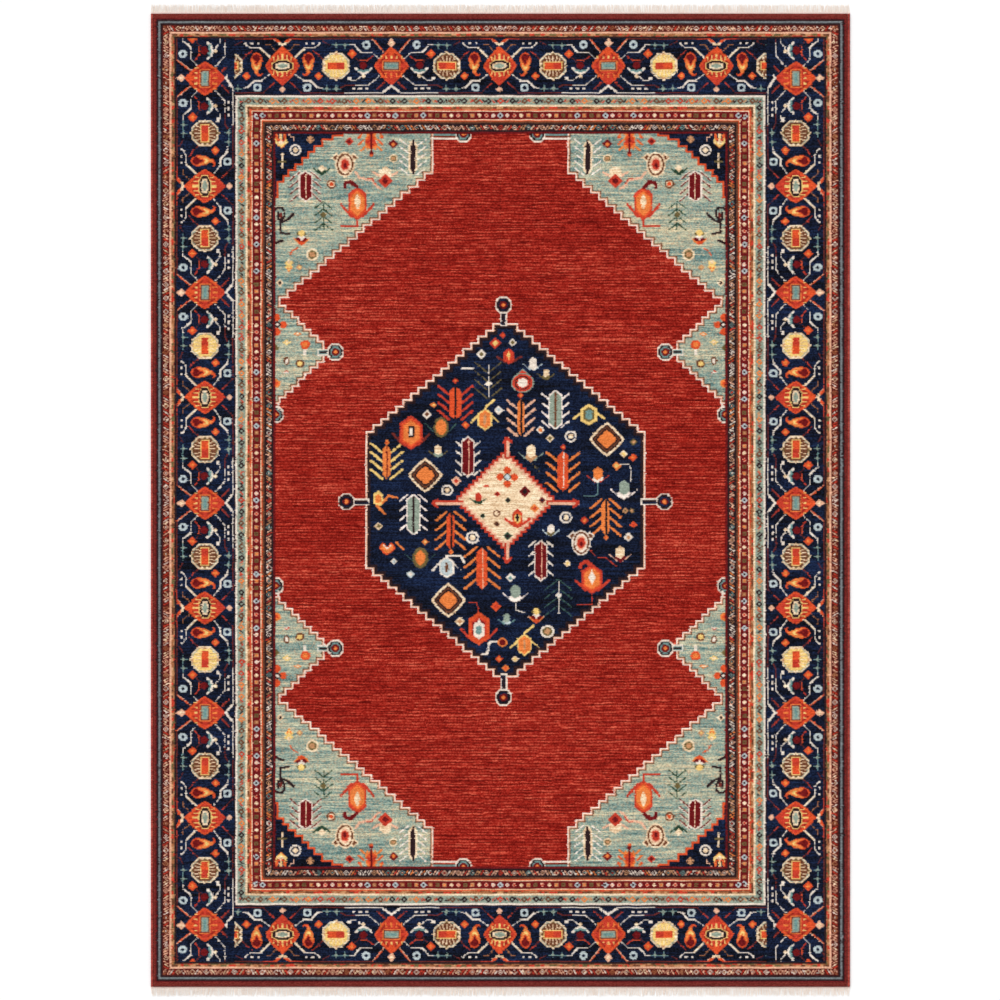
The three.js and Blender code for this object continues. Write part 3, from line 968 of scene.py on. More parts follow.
# %% Jugs and small fillers of the medallion
ORANGE_SPOUT = [(0, -12), (9, -20)]
GREY_SPOUT = [(0, -12), (14, -12), (18, -5)]
JUGS = [
    (-20.4, -84, "y", "O", "t", ORANGE_SPOUT),
    (19, 150.3, "y", "O", "t", ORANGE_SPOUT),
    (-58.8, 70, "w", "v", "B", GREY_SPOUT),
]
for x, y, glaze, body, core, spout in JUGS:
    paper.line([(x - 6, y - 5), (x - 14, y + 3)], glaze, 2)
    paper.line([(x + 6, y - 5), (x + 14, y + 3)], glaze, 1)
    paper.line([(x + dx, y + dy) for dx, dy in spout], glaze, 2)
    paper.nest("fruit", x, y, (7.4, 11.6, glaze), (5.8, 9.6, body), (1.4, 6, core))
paper.nest("fruit", -127.2, -1.3, (5, 9, "y"), (3, 5, "O"))
paper.line([(-128.6, 6), (-120.7, 14)], "O", 2)
paper.line([(-123, 3), (-116.6, -4.7), (-107.8, -2.3)], "O", 2)
paper.nest("fruit", 83.6, -89, (8.4, 11.4, "y"), (5.4, 8, "e"), (3.6, 6, "q"))
paper.line([(77, -92), (68.2, -85)], "y", 2)
paper.line([(90, -92), (99.4, -85)], "y", 2)
paper.line([(-24.4, 160), (-19.8, 160), (-17.2, 155.6), (-17.2, 149.2), (-14.2, 147), (-9, 147)], "w", 2)
paper.line([(-44.4, -137), (-32, -137)], "w", 2)
STARS = [
    (-2.3, -171.6, 3.6, "R", "o"), (-10.2, -163.4, 6.4, "R", "y"), (7, -164, 4.8, "w", "e"),
    (-24, -151.8, 5.2, "w", "e"), (-72.2, -99, 3.6, "O", "y"), (-78.6, -89.3, 5, "w", "B"),
    (-39.8, -78.2, 4.2, "o", "O"), (-7, -93.6, 4.8, "w", "v"), (128, -60.2, 4, "e", "t"),
    (35.1, -73, 4.8, "w", "O"), (44.5, -64.3, 4.4, "c", "e"), (-49, -20, 5.2, "p", "R"),
    (-126.7, 27, 4.4, "c", "e"), (-80.5, 43.4, 3.6, "O", "y"), (-111.5, 63.6, 3.8, "w", "v"),
    (-94.8, 77, 4.6, "v", "w"), (118.2, -48.2, 4.2, "c", "y"), (127.5, -44.6, 4.2, "o", "O"),
    (120, 11, 3.2, "t", "e"), (126.5, 11, 3.2, "e", "t"), (79.1, 21.2, 4.6, "R", "O"),
    (128, 25.8, 4, "o", "R"), (123, 38.7, 4.8, "w", "t"), (61.8, 65.4, 4, "c", "y"),
    (5, 80.8, 5.2, "w", "q"), (-9.6, 110.5, 5.2, "o", "R"), (-45.8, 126.4, 5.4, "c", "t"),
    (-6.5, 165, 4.2, "o", "O"), (9.3, 165, 4.2, "c", "y"), (0, 174.7, 4, "O", "o"),
]
for filler in STARS:
    star(paper, *filler)
RINGS = [
    (65.3, -66.4, 6.6, "w", "n", "c"), (-58.3, -10.5, 6.4, "w", "n", "c"), (-32.9, 39, 7.2, "w", "n", "c"),
    (60.3, 18, 6.8, "w", "n", "c"), (42, 136.5, 7.4, "w", "e", "t"), (-3, 148, 5.2, "O", "d", "d"),
]
for filler in RINGS:
    ring(paper, *filler)
print(len(STARS) + len(RINGS), "small fillers")

# %% [markdown]
# ## Dye, wear and painted shade in the rows
# Wool dyed in small lots never matches, so a real field is streaked from row to row. Each yarn is
# given a darker and a lighter dye lot, and slow noise along the rows chooses between them. In the red
# field the rows that sink between the ribs also take the darker lots, as painted shade in the grooves.

# %% Streaks of dye
dye = np.random.default_rng(5)


def soft_noise(rows_apart, tufts_apart, shape=(ROWS, TUFTS)):
    """Smooth noise from -1 to 1 with its knots that many rows and tufts apart."""
    knots = dye.uniform(-1, 1, (int(shape[0] / rows_apart) + 3, int(shape[1] / tufts_apart) + 3))
    at_row = np.arange(shape[0]) / rows_apart
    at_tuft = np.arange(shape[1]) / tufts_apart
    r, t = at_row.astype(int), at_tuft.astype(int)
    fr, ft = (at_row - r)[:, None], (at_tuft - t)[None, :]
    fr, ft = fr * fr * (3 - 2 * fr), ft * ft * (3 - 2 * ft)
    low = knots[r][:, t] * (1 - ft) + knots[r][:, t + 1] * ft
    high = knots[r + 1][:, t] * (1 - ft) + knots[r + 1][:, t + 1] * ft
    return low * (1 - fr) + high * fr


# About one row in three sinks between the ribs. The pile is lowered there and, in the red field, painted
# darker as painted shade.
PLIED_ROWS = 3.04
slip = 0.3 * soft_noise(12, 60)
sunk = (down + PLIED_ROWS * slip) % PLIED_ROWS < 1
rib_height_and_shade = np.where(sunk, -1.0, 0.45) * (0.75 + 0.25 * soft_noise(2, 14))
streak = soft_noise(1, 22)
short_streak = soft_noise(1, 7)
cloud = soft_noise(26, 160)
speck = dye.uniform(-1, 1, (ROWS, TUFTS))
bleached = np.exp(-(((from_end - BORDER - 100) / 16) ** 2))

# Most of the red field's tone comes from the rib: its sunk rows are painted dark as painted shade in the
# grooves, and the streaks and specks are its dye.
DYE_LOTS_AND_ROW_SHADE = {
    "f": (["#5a0604", "#7f130c", "#a62a1e", "#d8694f"],
          0.85 * rib_height_and_shade + 0.2 * streak + 0.3 * short_streak + 0.12 * cloud + 0.24 * speck),
    "s": (["#4f7474", "#7f9890", "#a8b09a", "#d2c4a0"],
          0.45 * soft_noise(2, 34) + 0.5 * streak + 0.35 * short_streak
          + 0.35 * soft_noise(14, 70) + 0.3 * speck + 0.35 * bleached),
    "n": (["#0a090d", "#10172b", "#192848"], 0.6 * streak + 0.5 * soft_noise(14, 40) + 0.45 * speck),
    "c": (["#dcae80", "#f0d2ac", "#f8e4c8"], 0.4 * streak + 0.5 * short_streak + 0.3 * speck),
}


def srgb(hex_colour):
    return np.array([int(hex_colour[i : i + 2], 16) / 255 for i in (1, 3, 5)])


# A hand-tied line is never clean: now and then a knot lands one warp to the side.
strayed = dye.random((ROWS, TUFTS)) < 0.1
neighbour = np.where(dye.random((ROWS, TUFTS)) < 0.5, np.roll(design, 1, 1), np.roll(design, -1, 1))
knotted = np.where(strayed, neighbour, design)

inks = np.array([srgb(YARNS[letter]) for letter in LETTERS])
wool = inks[knotted]
for letter, (lots, tone) in DYE_LOTS_AND_ROW_SHADE.items():
    dyed = knotted == CODE[letter]
    share = np.clip(0.5 + 0.5 * tone[dyed], 0, 1) * (len(lots) - 1)
    shades = np.array([srgb(lot) for lot in lots])
    wool[dyed] = np.stack([np.interp(share, range(len(lots)), channel) for channel in shades.T], 1)

blotted = (knotted == CODE["s"]) & (dye.random((ROWS, TUFTS)) < 0.2)
wool[blotted] = 0.5 * wool[blotted] + 0.5 * srgb("#c99b78")

# Fibre tips lean over their neighbours, so each tuft takes a little of the four round it.
LEAN_OVER = 0.075
around = np.pad(wool, ((1, 1), (1, 1), (0, 0)), mode="edge")
beside = around[1:-1, :-2] + around[1:-1, 2:] + around[:-2, 1:-1] + around[2:, 1:-1]
wool = (1 - 4 * LEAN_OVER) * wool + LEAN_OVER * beside
wool *= (1 + 0.05 * streak + 0.05 * short_streak + 0.06 * speck)[..., None]
wool += 0.03 * speck[..., None]
wool = np.clip(wool, 0, 1)
wool_linear = np.where(wool <= 0.04045, wool / 12.92, ((wool + 0.055) / 1.055) ** 2.4)
print("mean field colour:", wool[design == CODE["f"]].mean(0).round(3))

# %% [markdown]
# ## Cut pile
# Each tuft becomes one small face, dyed with its square of the paper. Neighbours share corners, so
# the surface is closed, and the corners rise and dip with the rows as worn pile does. Real lines
# wander a little where the wefts were beaten unevenly, so the whole grid is drawn slightly askew.

# %% Shape of the pile's surface
SERGED = 3
EASE = 20.0
corner_shape = (ROWS + 1, TUFTS + 1)
corner_down, corner_across = np.indices(corner_shape)
from_pile_side = np.minimum(corner_across - SERGED, TUFTS - SERGED - corner_across)
from_pile_end = np.minimum(corner_down, ROWS - corner_down)
edge_ease = np.clip(np.minimum(from_pile_end, from_pile_side) / EASE, 0, 1)
WANDER = 0.0009
grid_x = -SIDE_EDGE + corner_across * TUFT
grid_y = HIGH.y - corner_down * ROW
grid_x = grid_x + WANDER * edge_ease * soft_noise(9, 30, corner_shape)
grid_y = grid_y + WANDER * edge_ease * soft_noise(30, 9, corner_shape)

RIB_HEIGHT = 0.00045
TUFT_UNEVEN = 0.0003
SHORN = 0.0006
DIPS = 0.0004
padded_rib = np.pad(rib_height_and_shade, ((0, 1), (0, 1)), mode="edge")
grid_z = PILE_TOP - SHORN + RIB_HEIGHT * padded_rib + TUFT_UNEVEN * soft_noise(1, 1, corner_shape)
grid_z += DIPS * soft_noise(40, 40, corner_shape)
rim_distance = np.minimum(from_pile_end, abs(from_pile_side))
ROUNDED_RIM = [0.0026, 0.0010, 0.0003]
for distance, drop in enumerate(ROUNDED_RIM):
    grid_z[rim_distance == distance] -= drop
grid_z = np.minimum(grid_z, PILE_TOP)
print("pile surface from", round(grid_z.min() * 1000, 2), "to", round(grid_z.max() * 1000, 2), "mm")

# %% Dyed wool material
WOOL_SHEEN = {"IOR": 1.54, "Sheen Weight": 0.03, "Sheen Roughness": 0.5}
FIBRE = 0.0016
pile_wool, tree, shader = matt("cut_wool_pile", "#93291c", roughness=0.92, specular=0.06, **WOOL_SHEEN)
place = node(tree, "ShaderNodeTexCoord")
fine = {"Vector": place.outputs["Object"], "Scale": 1 / FIBRE, "Detail": 4.0}
fibres = node(tree, "ShaderNodeTexNoise", fine)
tips = node(tree, "ShaderNodeTexVoronoi", {"Vector": place.outputs["Object"], "Scale": 1 / TUFT})
# The fibre noise that raises the bump also scales the wool's colour from 0.86 to 1.14. This is painted light
# on the raised fibres and painted shade between them, on top of their random tone.
light = {"Value": fibres, "From Min": 0.3, "From Max": 0.7, "To Min": 0.86, "To Max": 1.14}
lights = node(tree, "ShaderNodeMapRange", light)
dyed = node(tree, "ShaderNodeVertexColor", layer_name="dyed_yarn")
shaded = node(tree, "ShaderNodeVectorMath", {0: dyed, "Scale": lights}, operation="SCALE")
tree.links.new(shaded.outputs["Vector"], shader.inputs["Base Color"])
tuft_height = {"Height": tips, "Strength": 0.5, "Distance": 0.001}
tuft_bump = node(tree, "ShaderNodeBump", tuft_height, invert=True)
fibre_height = {"Height": fibres, "Strength": 0.6, "Distance": 0.0008, "Normal": tuft_bump}
fibre_bump = node(tree, "ShaderNodeBump", fibre_height)
tree.links.new(fibre_bump.outputs["Normal"], shader.inputs["Normal"])
print("material:", pile_wool.name)


# %% Make one piece of pile
def boundary_loop(mask):
    """The corners round a patch of squares, in order, with the patch on the left hand side."""
    framed = np.pad(mask, 1)
    step = {}
    for r, c in zip(*np.nonzero(framed & ~np.roll(framed, 1, 0))):  # above is empty: run left
        step.setdefault((r - 1, c), []).append((r - 1, c - 1))
    for r, c in zip(*np.nonzero(framed & ~np.roll(framed, -1, 0))):  # below is empty: run right
        step.setdefault((r, c - 1), []).append((r, c))
    for r, c in zip(*np.nonzero(framed & ~np.roll(framed, 1, 1))):  # left is empty: run down
        step.setdefault((r - 1, c - 1), []).append((r, c - 1))
    for r, c in zip(*np.nonzero(framed & ~np.roll(framed, -1, 1))):  # right is empty: run up
        step.setdefault((r, c), []).append((r - 1, c))
    start = min(step)
    loop = [start]
    while True:
        here = step[loop[-1]].pop()
        if here == start:
            return loop
        loop.append(here)


def pile_piece(name, mask):
    """Tufted top from the grid, straight sides down to the ground weave, and a closed underside."""
    used = np.zeros(corner_shape, bool)
    used[:-1, :-1] |= mask
    used[1:, :-1] |= mask
    used[:-1, 1:] |= mask
    used[1:, 1:] |= mask
    number = np.full(corner_shape, -1)
    number[used] = np.arange(used.sum())
    top = np.stack([grid_x[used], grid_y[used], grid_z[used]], 1)
    r, c = np.nonzero(mask)
    faces = np.stack([number[r + 1, c], number[r + 1, c + 1], number[r, c + 1], number[r, c]], 1)
    loop = boundary_loop(mask)
    rim_top = np.array([number[corner] for corner in loop])
    foot = top[rim_top].copy()
    foot[:, 2] = PILE_FOOT
    rim_foot = len(top) + np.arange(len(loop))
    sides = np.stack([rim_top, rim_foot, np.roll(rim_foot, -1), np.roll(rim_top, -1)], 1)
    points = np.concatenate([top, foot])
    low, high = top[:, :2].min(0), top[:, :2].max(0)
    flat = 0.015 + 0.97 * (points[:, :2] - low) / (high - low)
    flat[len(top):] += 0.002 * np.sign(flat[len(top):] - 0.5)

    mesh = bpy.data.meshes.new(name)
    corners = np.concatenate([faces.ravel(), sides.ravel(), rim_foot[::-1]])
    starts = np.arange(0, 4 * (len(faces) + len(sides)) + 1, 4)
    mesh.vertices.add(len(points))
    mesh.vertices.foreach_set("co", points.ravel())
    mesh.loops.add(len(corners))
    mesh.loops.foreach_set("vertex_index", corners)
    mesh.polygons.add(len(starts))
    mesh.polygons.foreach_set("loop_start", starts)
    mesh.update(calc_edges=True)

    # The underside is painted near black, as painted shade under the pile where it lies on the ground weave.
    coloured = np.concatenate([wool_linear[r, c], np.full((len(sides) + 1, 3), 0.05)])
    rows_of, tufts_of = np.array(loop).T
    next_rows, next_tufts = np.roll(rows_of, -1), np.roll(tufts_of, -1)
    upper, lefter = np.minimum(rows_of, next_rows), np.minimum(tufts_of, next_tufts)
    run_left, run_right = next_tufts < tufts_of, next_tufts > tufts_of
    run_down, run_up = next_rows > rows_of, next_rows < rows_of
    inner_row = np.where(run_left, rows_of, np.where(run_right, rows_of - 1, upper))
    inner_tuft = np.where(run_down, tufts_of, np.where(run_up, tufts_of - 1, lefter))
    # Each side wall takes the colour of the tuft inside it, painted a fifth darker as painted shade.
    coloured[len(faces) : len(faces) + len(sides)] = wool_linear[inner_row, inner_tuft] * 0.8
    sizes = np.append(np.full(len(starts) - 1, 4), len(loop))
    rgba = np.concatenate([np.repeat(coloured, sizes, 0), np.ones((len(corners), 1))], 1)
    layer = mesh.color_attributes.new("dyed_yarn", "FLOAT_COLOR", "CORNER")
    layer.data.foreach_set("color", rgba.ravel().astype(np.float32))
    uv = mesh.uv_layers.new(name="OFBake")
    places = flat[corners]
    places[-len(loop):] = places[-len(loop):] * 0.008
    uv.data.foreach_set("uv", places.ravel())
    mesh.materials.append(pile_wool)
    piece = bpy.data.objects.new(name, mesh)
    scene.collection.objects.link(piece)
    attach(piece, "root")
    return piece


BANDS = ["plain_band", "outer_guard", "main_border", "blue_guard", "bead_guard", "navy_guard"]
pile_pieces = []


def add_pile(name, rows, tufts, mask, nodes, slot):
    whole = np.zeros((ROWS, TUFTS), bool)
    whole[rows, tufts] = mask
    piece = pile_piece(name, whole)
    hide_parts(*nodes)
    pile_pieces.append(piece)
    return piece


for end, rows in (("head", slice(0, BORDER)), ("foot", slice(ROWS - BORDER, ROWS))):
    cuts = [SERGED, 234, 466, TUFTS - SERGED]
    for third, (left, right) in enumerate(zip(cuts, cuts[1:]), 1):
        add_pile(f"pile_border_{end}_{third}", rows, slice(left, right), True,
                 [f"{band}_{end}" for band in BANDS], "pile_main_border")
for side, tufts in (("left", slice(SERGED, BORDER)), ("right", slice(TUFTS - BORDER, TUFTS - SERGED))):
    cuts = [BORDER, 379, 633, ROWS - BORDER]
    for third, (top, bottom) in enumerate(zip(cuts, cuts[1:]), 1):
        add_pile(f"pile_border_{side}_{third}", slice(top, bottom), tufts, True,
                 [f"{band}_{side}" for band in BANDS], "pile_main_border")
print(len(pile_pieces), "pieces of border pile")

# %% Pile of the field and the medallion
for (end, side), (rows, tufts, down_step, across_step) in quarters.items():
    turned = (slice(None, None, down_step), slice(None, None, across_step))
    area = {
        "corner_triangle": (in_triangle, "pile_corner"),
        "corner_spandrel": (in_spandrel, "pile_spandrel"),
        "side_spandrel": (in_side, "pile_spandrel"),
    }
    for part, (mask, slot) in area.items():
        add_pile(f"pile_{part}_{end}_{side}", rows, tufts, mask[turned], [f"{part}_{end}_{side}"], slot)
    plain = red[turned] & outside[rows, tufts]
    add_pile(f"pile_field_{end}_{side}", rows, tufts, plain, [f"field_{end}_{side}"], "pile_field")
everywhere = (slice(0, ROWS), slice(0, TUFTS))
for end, half in (("head", down < ROWS // 2), ("foot", down >= ROWS // 2)):
    mask = in_medallion & half
    add_pile(f"pile_medallion_{end}", *everywhere, mask, [f"medallion_{end}"], "pile_medallion")
add_pile("pile_medallion_centre", *everywhere, in_centre, ["medallion_centre"], "pile_centre")
triangles = sum(len(piece.data.loops) - 2 * len(piece.data.polygons) for piece in pile_pieces)
print(len(pile_pieces), "pieces of pile,", triangles, "triangles")

# %% [markdown]
# ## Yarns of the ground, the edges and the fringe
# These yarns are seen one by one, so their material is spun yarn: plies that slant across it, a
# little fuzz, and a shade of its own for each strand. Cotton takes light evenly, so it stays matt.

# %% Spun yarn material
WAVE_AT_ONE = 2 * math.pi / 20
BLOTCH = 0.05


def spun_yarn(name, shades, ply):
    """Matt spun yarn. Each strand has its own shade, and slanting plies raise it, with their grooves painted
    darker as painted shade.
    """
    soft = {"IOR": 1.53, "Sheen Weight": 0.05}
    made, tree, shader = matt(name, shades[1], roughness=0.9, specular=0.1, **soft)
    place = node(tree, "ShaderNodeTexCoord")
    where = place.outputs["Object"]
    slanting = node(tree, "ShaderNodeMapping", {"Vector": where, "Rotation": (0, 0, 0.8)})
    slant = {"Vector": slanting, "Scale": WAVE_AT_ONE / ply, "Distortion": 2.0, "Detail": 2.0}
    plies = node(tree, "ShaderNodeTexWave", slant).outputs["Fac"]
    fuzz = node(tree, "ShaderNodeTexNoise", {"Vector": where, "Scale": 1 / ply, "Detail": 4.0})
    blotch = node(tree, "ShaderNodeTexNoise", {"Vector": where, "Scale": 1 / BLOTCH})
    own = node(tree, "ShaderNodeAttribute", attribute_name="yarn_shade").outputs["Fac"]
    strands = maths(tree, "MULTIPLY", own, 0.45)
    worn = maths(tree, "MULTIPLY_ADD", blotch, 0.4, strands)
    # The plies that the bump raises are lighter and the grooves between them darker: painted shade.
    wavy = maths(tree, "MULTIPLY_ADD", plies, 0.2, worn)
    ramp = node(tree, "ShaderNodeValToRGB", {"Fac": wavy})
    ramp.color_ramp.elements[0].position = 0.15
    ramp.color_ramp.elements[0].color = linear(shades[0])
    ramp.color_ramp.elements[1].position = 0.8
    ramp.color_ramp.elements[1].color = linear(shades[-1])
    for place_on_ramp, shade in zip((0.4, 0.6), shades[1:-1]):
        ramp.color_ramp.elements.new(place_on_ramp).color = linear(shade)
    tree.links.new(ramp.outputs["Color"], shader.inputs["Base Color"])
    rough = maths(tree, "MULTIPLY", plies, fuzz)
    raised = node(tree, "ShaderNodeBump", {"Height": rough, "Strength": 0.5, "Distance": ply * 0.4})
    tree.links.new(raised.outputs["Normal"], shader.inputs["Normal"])
    return made


fringe_cotton = spun_yarn("loose_cotton_warp_ends", ["#f4e0d2", "#fbece0", "#fff5ec", "#fffaf5"], 0.0011)
twined_cotton = spun_yarn("bleached_cotton_twining", ["#f6dcd2", "#fce8e0", "#fff1eb", "#fff8f5"], 0.0013)
cord_cotton = spun_yarn("plied_cotton_warps", ["#a4957c", "#beb096", "#cfc3aa", "#d8ccb4"], 0.0015)
edge_wool = spun_yarn("overcast_madder_wool", ["#792220", "#9c3831", "#b4483f", "#c9604f"], 0.0013)
print("yarn materials ready")

# %% Plain weave material
# The ground's yarns are 3.4 mm apart, too fine to bake over three metres, so they are drawn at four
# times that.
DRAWN_YARN = 4 * TUFT
plain_weave, tree, shader = matt("plain_woven_cotton", "#d9cdb6", roughness=0.9, specular=0.1, IOR=1.53)
weave = {"Vector": node(tree, "ShaderNodeTexCoord").outputs["Object"], "Scale": WAVE_AT_ONE / DRAWN_YARN,
         "Distortion": 0.6, "Detail": 1.0}
warps = node(tree, "ShaderNodeTexWave", weave, bands_direction="X").outputs["Fac"]
wefts = node(tree, "ShaderNodeTexWave", weave, bands_direction="Y").outputs["Fac"]
crossing = maths(tree, "MULTIPLY", warps, wefts)
# Where warp and weft cross, the weave is raised and light. Between them it is painted dark tan, as painted
# shade in the hollows.
ramp = node(tree, "ShaderNodeValToRGB", {"Fac": crossing})
ramp.color_ramp.elements[0].color = linear("#a89878")
ramp.color_ramp.elements[1].color = linear("#d9cdb6")
tree.links.new(ramp.outputs["Color"], shader.inputs["Base Color"])
raised = node(tree, "ShaderNodeBump", {"Height": crossing, "Strength": 0.5, "Distance": 0.0008})
tree.links.new(raised.outputs["Normal"], shader.inputs["Normal"])
print("material:", plain_weave.name)


# %% Flat map for a long thin piece
def bake_map(piece, columns):
    """Cuts a long piece into columns laid side by side, with what faces down beside what faces up."""
    mesh = piece.data
    loops = len(mesh.loops)
    vertex_of = np.empty(loops, int)
    mesh.loops.foreach_get("vertex_index", vertex_of)
    points = np.empty(len(mesh.vertices) * 3)
    mesh.vertices.foreach_get("co", points)
    flat = points.reshape(-1, 3)[:, :2]
    flat = (flat - flat.min(0)) / np.ptp(flat, axis=0)
    long_way = int(np.argmax(piece.dimensions[:2]))
    along, beside = flat[vertex_of, long_way], flat[vertex_of, 1 - long_way]
    sizes = np.empty(len(mesh.polygons), int)
    mesh.polygons.foreach_get("loop_total", sizes)
    starts = np.empty(len(mesh.polygons), int)
    mesh.polygons.foreach_get("loop_start", starts)
    normals = np.empty(len(mesh.polygons) * 3)
    mesh.polygons.foreach_get("normal", normals)
    under = np.repeat(normals.reshape(-1, 3)[:, 2] < 0, sizes)
    column = np.repeat(np.minimum((along[starts] * columns).astype(int), columns - 1), sizes)
    across = (column + 0.04 + 0.44 * beside + 0.48 * under) / columns
    up = 0.04 + 0.92 * (along * columns - column)
    uv = mesh.uv_layers.new(name="OFBake")
    uv.data.foreach_set("uv", np.stack([across, up], 1).ravel())


# %% [markdown]
# ## Ground weave
# The cotton warps and wefts under the pile hold every knot. Only the underside and the ends of it
# could be seen, so it is one thin closed slab that swells gently, with its crossing yarns in the
# material. It is the cloth that the rest of the rug is tied to.

# %% Ground weave
SQUARES_ACROSS, SQUARES_ALONG = 59, 83
SWELL = 0.0002
count = (SQUARES_ALONG + 1, SQUARES_ACROSS + 1)
sheet_rows, sheet_columns = np.linspace(LOW.y, HIGH.y, count[0]), np.linspace(LOW.x, HIGH.x, count[1])
sheet_y, sheet_x = np.meshgrid(sheet_rows, sheet_columns, indexing="ij")
swell = SWELL * np.sin(sheet_x * 31) * np.sin(sheet_y * 23)
under = np.stack([sheet_x, sheet_y, LOW.z + SWELL + swell], 2).reshape(-1, 3)
over = np.stack([sheet_x, sheet_y, HIGH.z - SWELL + swell], 2).reshape(-1, 3)
number = np.arange(count[0] * count[1]).reshape(count)
quads = np.stack([number[:-1, :-1], number[:-1, 1:], number[1:, 1:], number[1:, :-1]], 2).reshape(-1, 4)
rim_loop = np.concatenate([number[0, :-1], number[:-1, -1], number[-1, :0:-1], number[:0:-1, 0]])
after = np.roll(rim_loop, -1)
walls = np.stack([rim_loop, after, after + number.size, rim_loop + number.size], 1)
mesh = bpy.data.meshes.new("woven_ground")
slab = np.concatenate([quads[:, ::-1], quads + number.size, walls])
mesh.from_pydata(np.concatenate([under, over]).tolist(), [], slab.tolist())
mesh.materials.append(plain_weave)
woven_ground = bpy.data.objects.new("woven_ground", mesh)
scene.collection.objects.link(woven_ground)
bake_map(woven_ground, 1)
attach(woven_ground, "root")
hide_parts("ground_weave")
print("ground weave:", len(mesh.polygons), "faces")

# %% [markdown]
# ## Edges
# What follows the edges is one small yarn shape repeated hundreds of times, or a section run along
# a line, so Geometry Nodes make it. Each tree has its sizes as named inputs, and each result is
# kept as a plain mesh. The right side and the foot are the left side and the head, turned half round.

# %% Geometry Nodes helpers
SOCKETS = {float: "NodeSocketFloat", int: "NodeSocketInt", bpy.types.Material: "NodeSocketMaterial"}


def start_tree(name, sizes):
    """An empty tree with one named input for each size."""
    tree = bpy.data.node_groups.new(name, "GeometryNodeTree")
    for size, value in sizes.items():
        tree.interface.new_socket(size, in_out="INPUT", socket_type=SOCKETS[type(value)])
    tree.interface.new_socket("Geometry", in_out="OUTPUT", socket_type="NodeSocketGeometry")
    return tree, node(tree, "NodeGroupInput").outputs


def end_tree(tree, sizes, geometry):
    """Makes the copies real and gives them their yarn."""
    real = node(tree, "GeometryNodeRealizeInstances", {"Geometry": geometry})
    smooth = node(tree, "GeometryNodeSetShadeSmooth", {"Geometry": real})
    dressed = node(tree, "GeometryNodeSetMaterial", {"Geometry": smooth, "Material": sizes["Yarn"]})
    node(tree, "NodeGroupOutput", {"Geometry": dressed})


def between(tree, low, high, seed):
    """A random number for each point, from low to high."""
    drawn = {2: low, 3: high, "Seed": seed}
    return node(tree, "FunctionNodeRandomValue", drawn, data_type="FLOAT").outputs[1]


def tube(tree, path, radius, sides, capped=True, scale=1.0):
    """A round tube along a curve, thinner where the scale is less than one."""
    section = node(tree, "GeometryNodeCurvePrimitiveCircle", {"Resolution": sides, "Radius": radius})
    run = {"Curve": path, "Profile Curve": section, "Scale": scale, "Fill Caps": capped}
    return node(tree, "GeometryNodeCurveToMesh", run)


def own_shade(tree, copies, seed):
    """Gives each copy its own shade of the yarn."""
    named = {"Geometry": copies, "Name": "yarn_shade"}
    shaded = node(tree, "GeometryNodeStoreNamedAttribute", named, data_type="FLOAT", domain="INSTANCE")
    tree.links.new(between(tree, 0.0, 1.0, seed), shaded.inputs["Value"])
    return shaded


def line_along(tree, axis, length, points):
    """A straight curve through the origin along X or Y, cut into even points."""
    half = maths(tree, "MULTIPLY", length, 0.5)
    minus = maths(tree, "MULTIPLY", length, -0.5)
    start = node(tree, "ShaderNodeCombineXYZ", {axis: minus})
    end = node(tree, "ShaderNodeCombineXYZ", {axis: half})
    line = node(tree, "GeometryNodeCurvePrimitiveLine", {"Start": start, "End": end})
    return node(tree, "GeometryNodeResampleCurve", {"Curve": line, "Count": points}).outputs["Curve"]


def grow(name, tree, sizes, origin, half_turn, node_name, columns=8):
    piece = bpy.data.objects.new(name, bpy.data.meshes.new(name + "_start"))
    scene.collection.objects.link(piece)
    modifier = piece.modifiers.new("grow", "NODES")
    modifier.node_group = tree
    for socket in tree.interface.items_tree:
        if socket.in_out == "INPUT":
            modifier[socket.identifier] = sizes[socket.name]
    bpy.context.view_layer.update()
    grown = piece.evaluated_get(bpy.context.evaluated_depsgraph_get())
    mesh = bpy.data.meshes.new_from_object(grown)
    piece.modifiers.remove(modifier)
    piece.data = mesh
    mesh.name = name
    # Joined tubes bring an empty material slot with them, so the yarn is set again as the only one.
    mesh.materials.clear()
    mesh.materials.append(sizes["Yarn"])
    mesh.polygons.foreach_set("material_index", np.zeros(len(mesh.polygons), int))
    points = np.empty(len(mesh.vertices) * 3)
    mesh.vertices.foreach_get("co", points)
    points = points.reshape(-1, 3)
    if half_turn:
        points[:, :2] *= -1
    mesh.vertices.foreach_set("co", (points + np.array(origin)).ravel())
    mesh.update()
    bpy.context.view_layer.update()
    bake_map(piece, columns)
    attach(piece, "root")
    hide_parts(node_name)
    print(name, len(mesh.polygons), "faces of", mesh.materials[0].name)
    return piece


edge_pieces = []
print("helpers ready")

# %% [markdown]
# Each side is overcast: wool goes round the edge cord once for every row, and leans a little.

# %% Overcast sides
low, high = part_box("side_serging_left")
WRAP_YARN = 0.0019
WRAPS = {
    "Length": high.y - low.y - 0.0036,
    "Count": ROWS,
    "Half width": (high.x - low.x - WRAP_YARN) / 2,
    "Half height": (high.z - low.z - WRAP_YARN) / 2,
    "Yarn radius": WRAP_YARN / 2,
    "Yarn spread": 1.95,
    "Lean": 0.26,
    "Seed": 4,
    "Yarn": edge_wool,
}
tree, sizes = start_tree("overcast_wraps", WRAPS)
stations = line_along(tree, "Y", sizes["Length"], sizes["Count"])
loop = node(tree, "GeometryNodeCurvePrimitiveCircle", {"Resolution": 10, "Radius": 1.0})
oval = node(tree, "ShaderNodeCombineXYZ", {"X": sizes["Half width"], "Y": sizes["Half height"], "Z": 1.0})
bent = node(tree, "GeometryNodeTransform", {"Geometry": loop, "Scale": oval})
yarn_ring = tube(tree, bent, sizes["Yarn radius"], 4, capped=False)
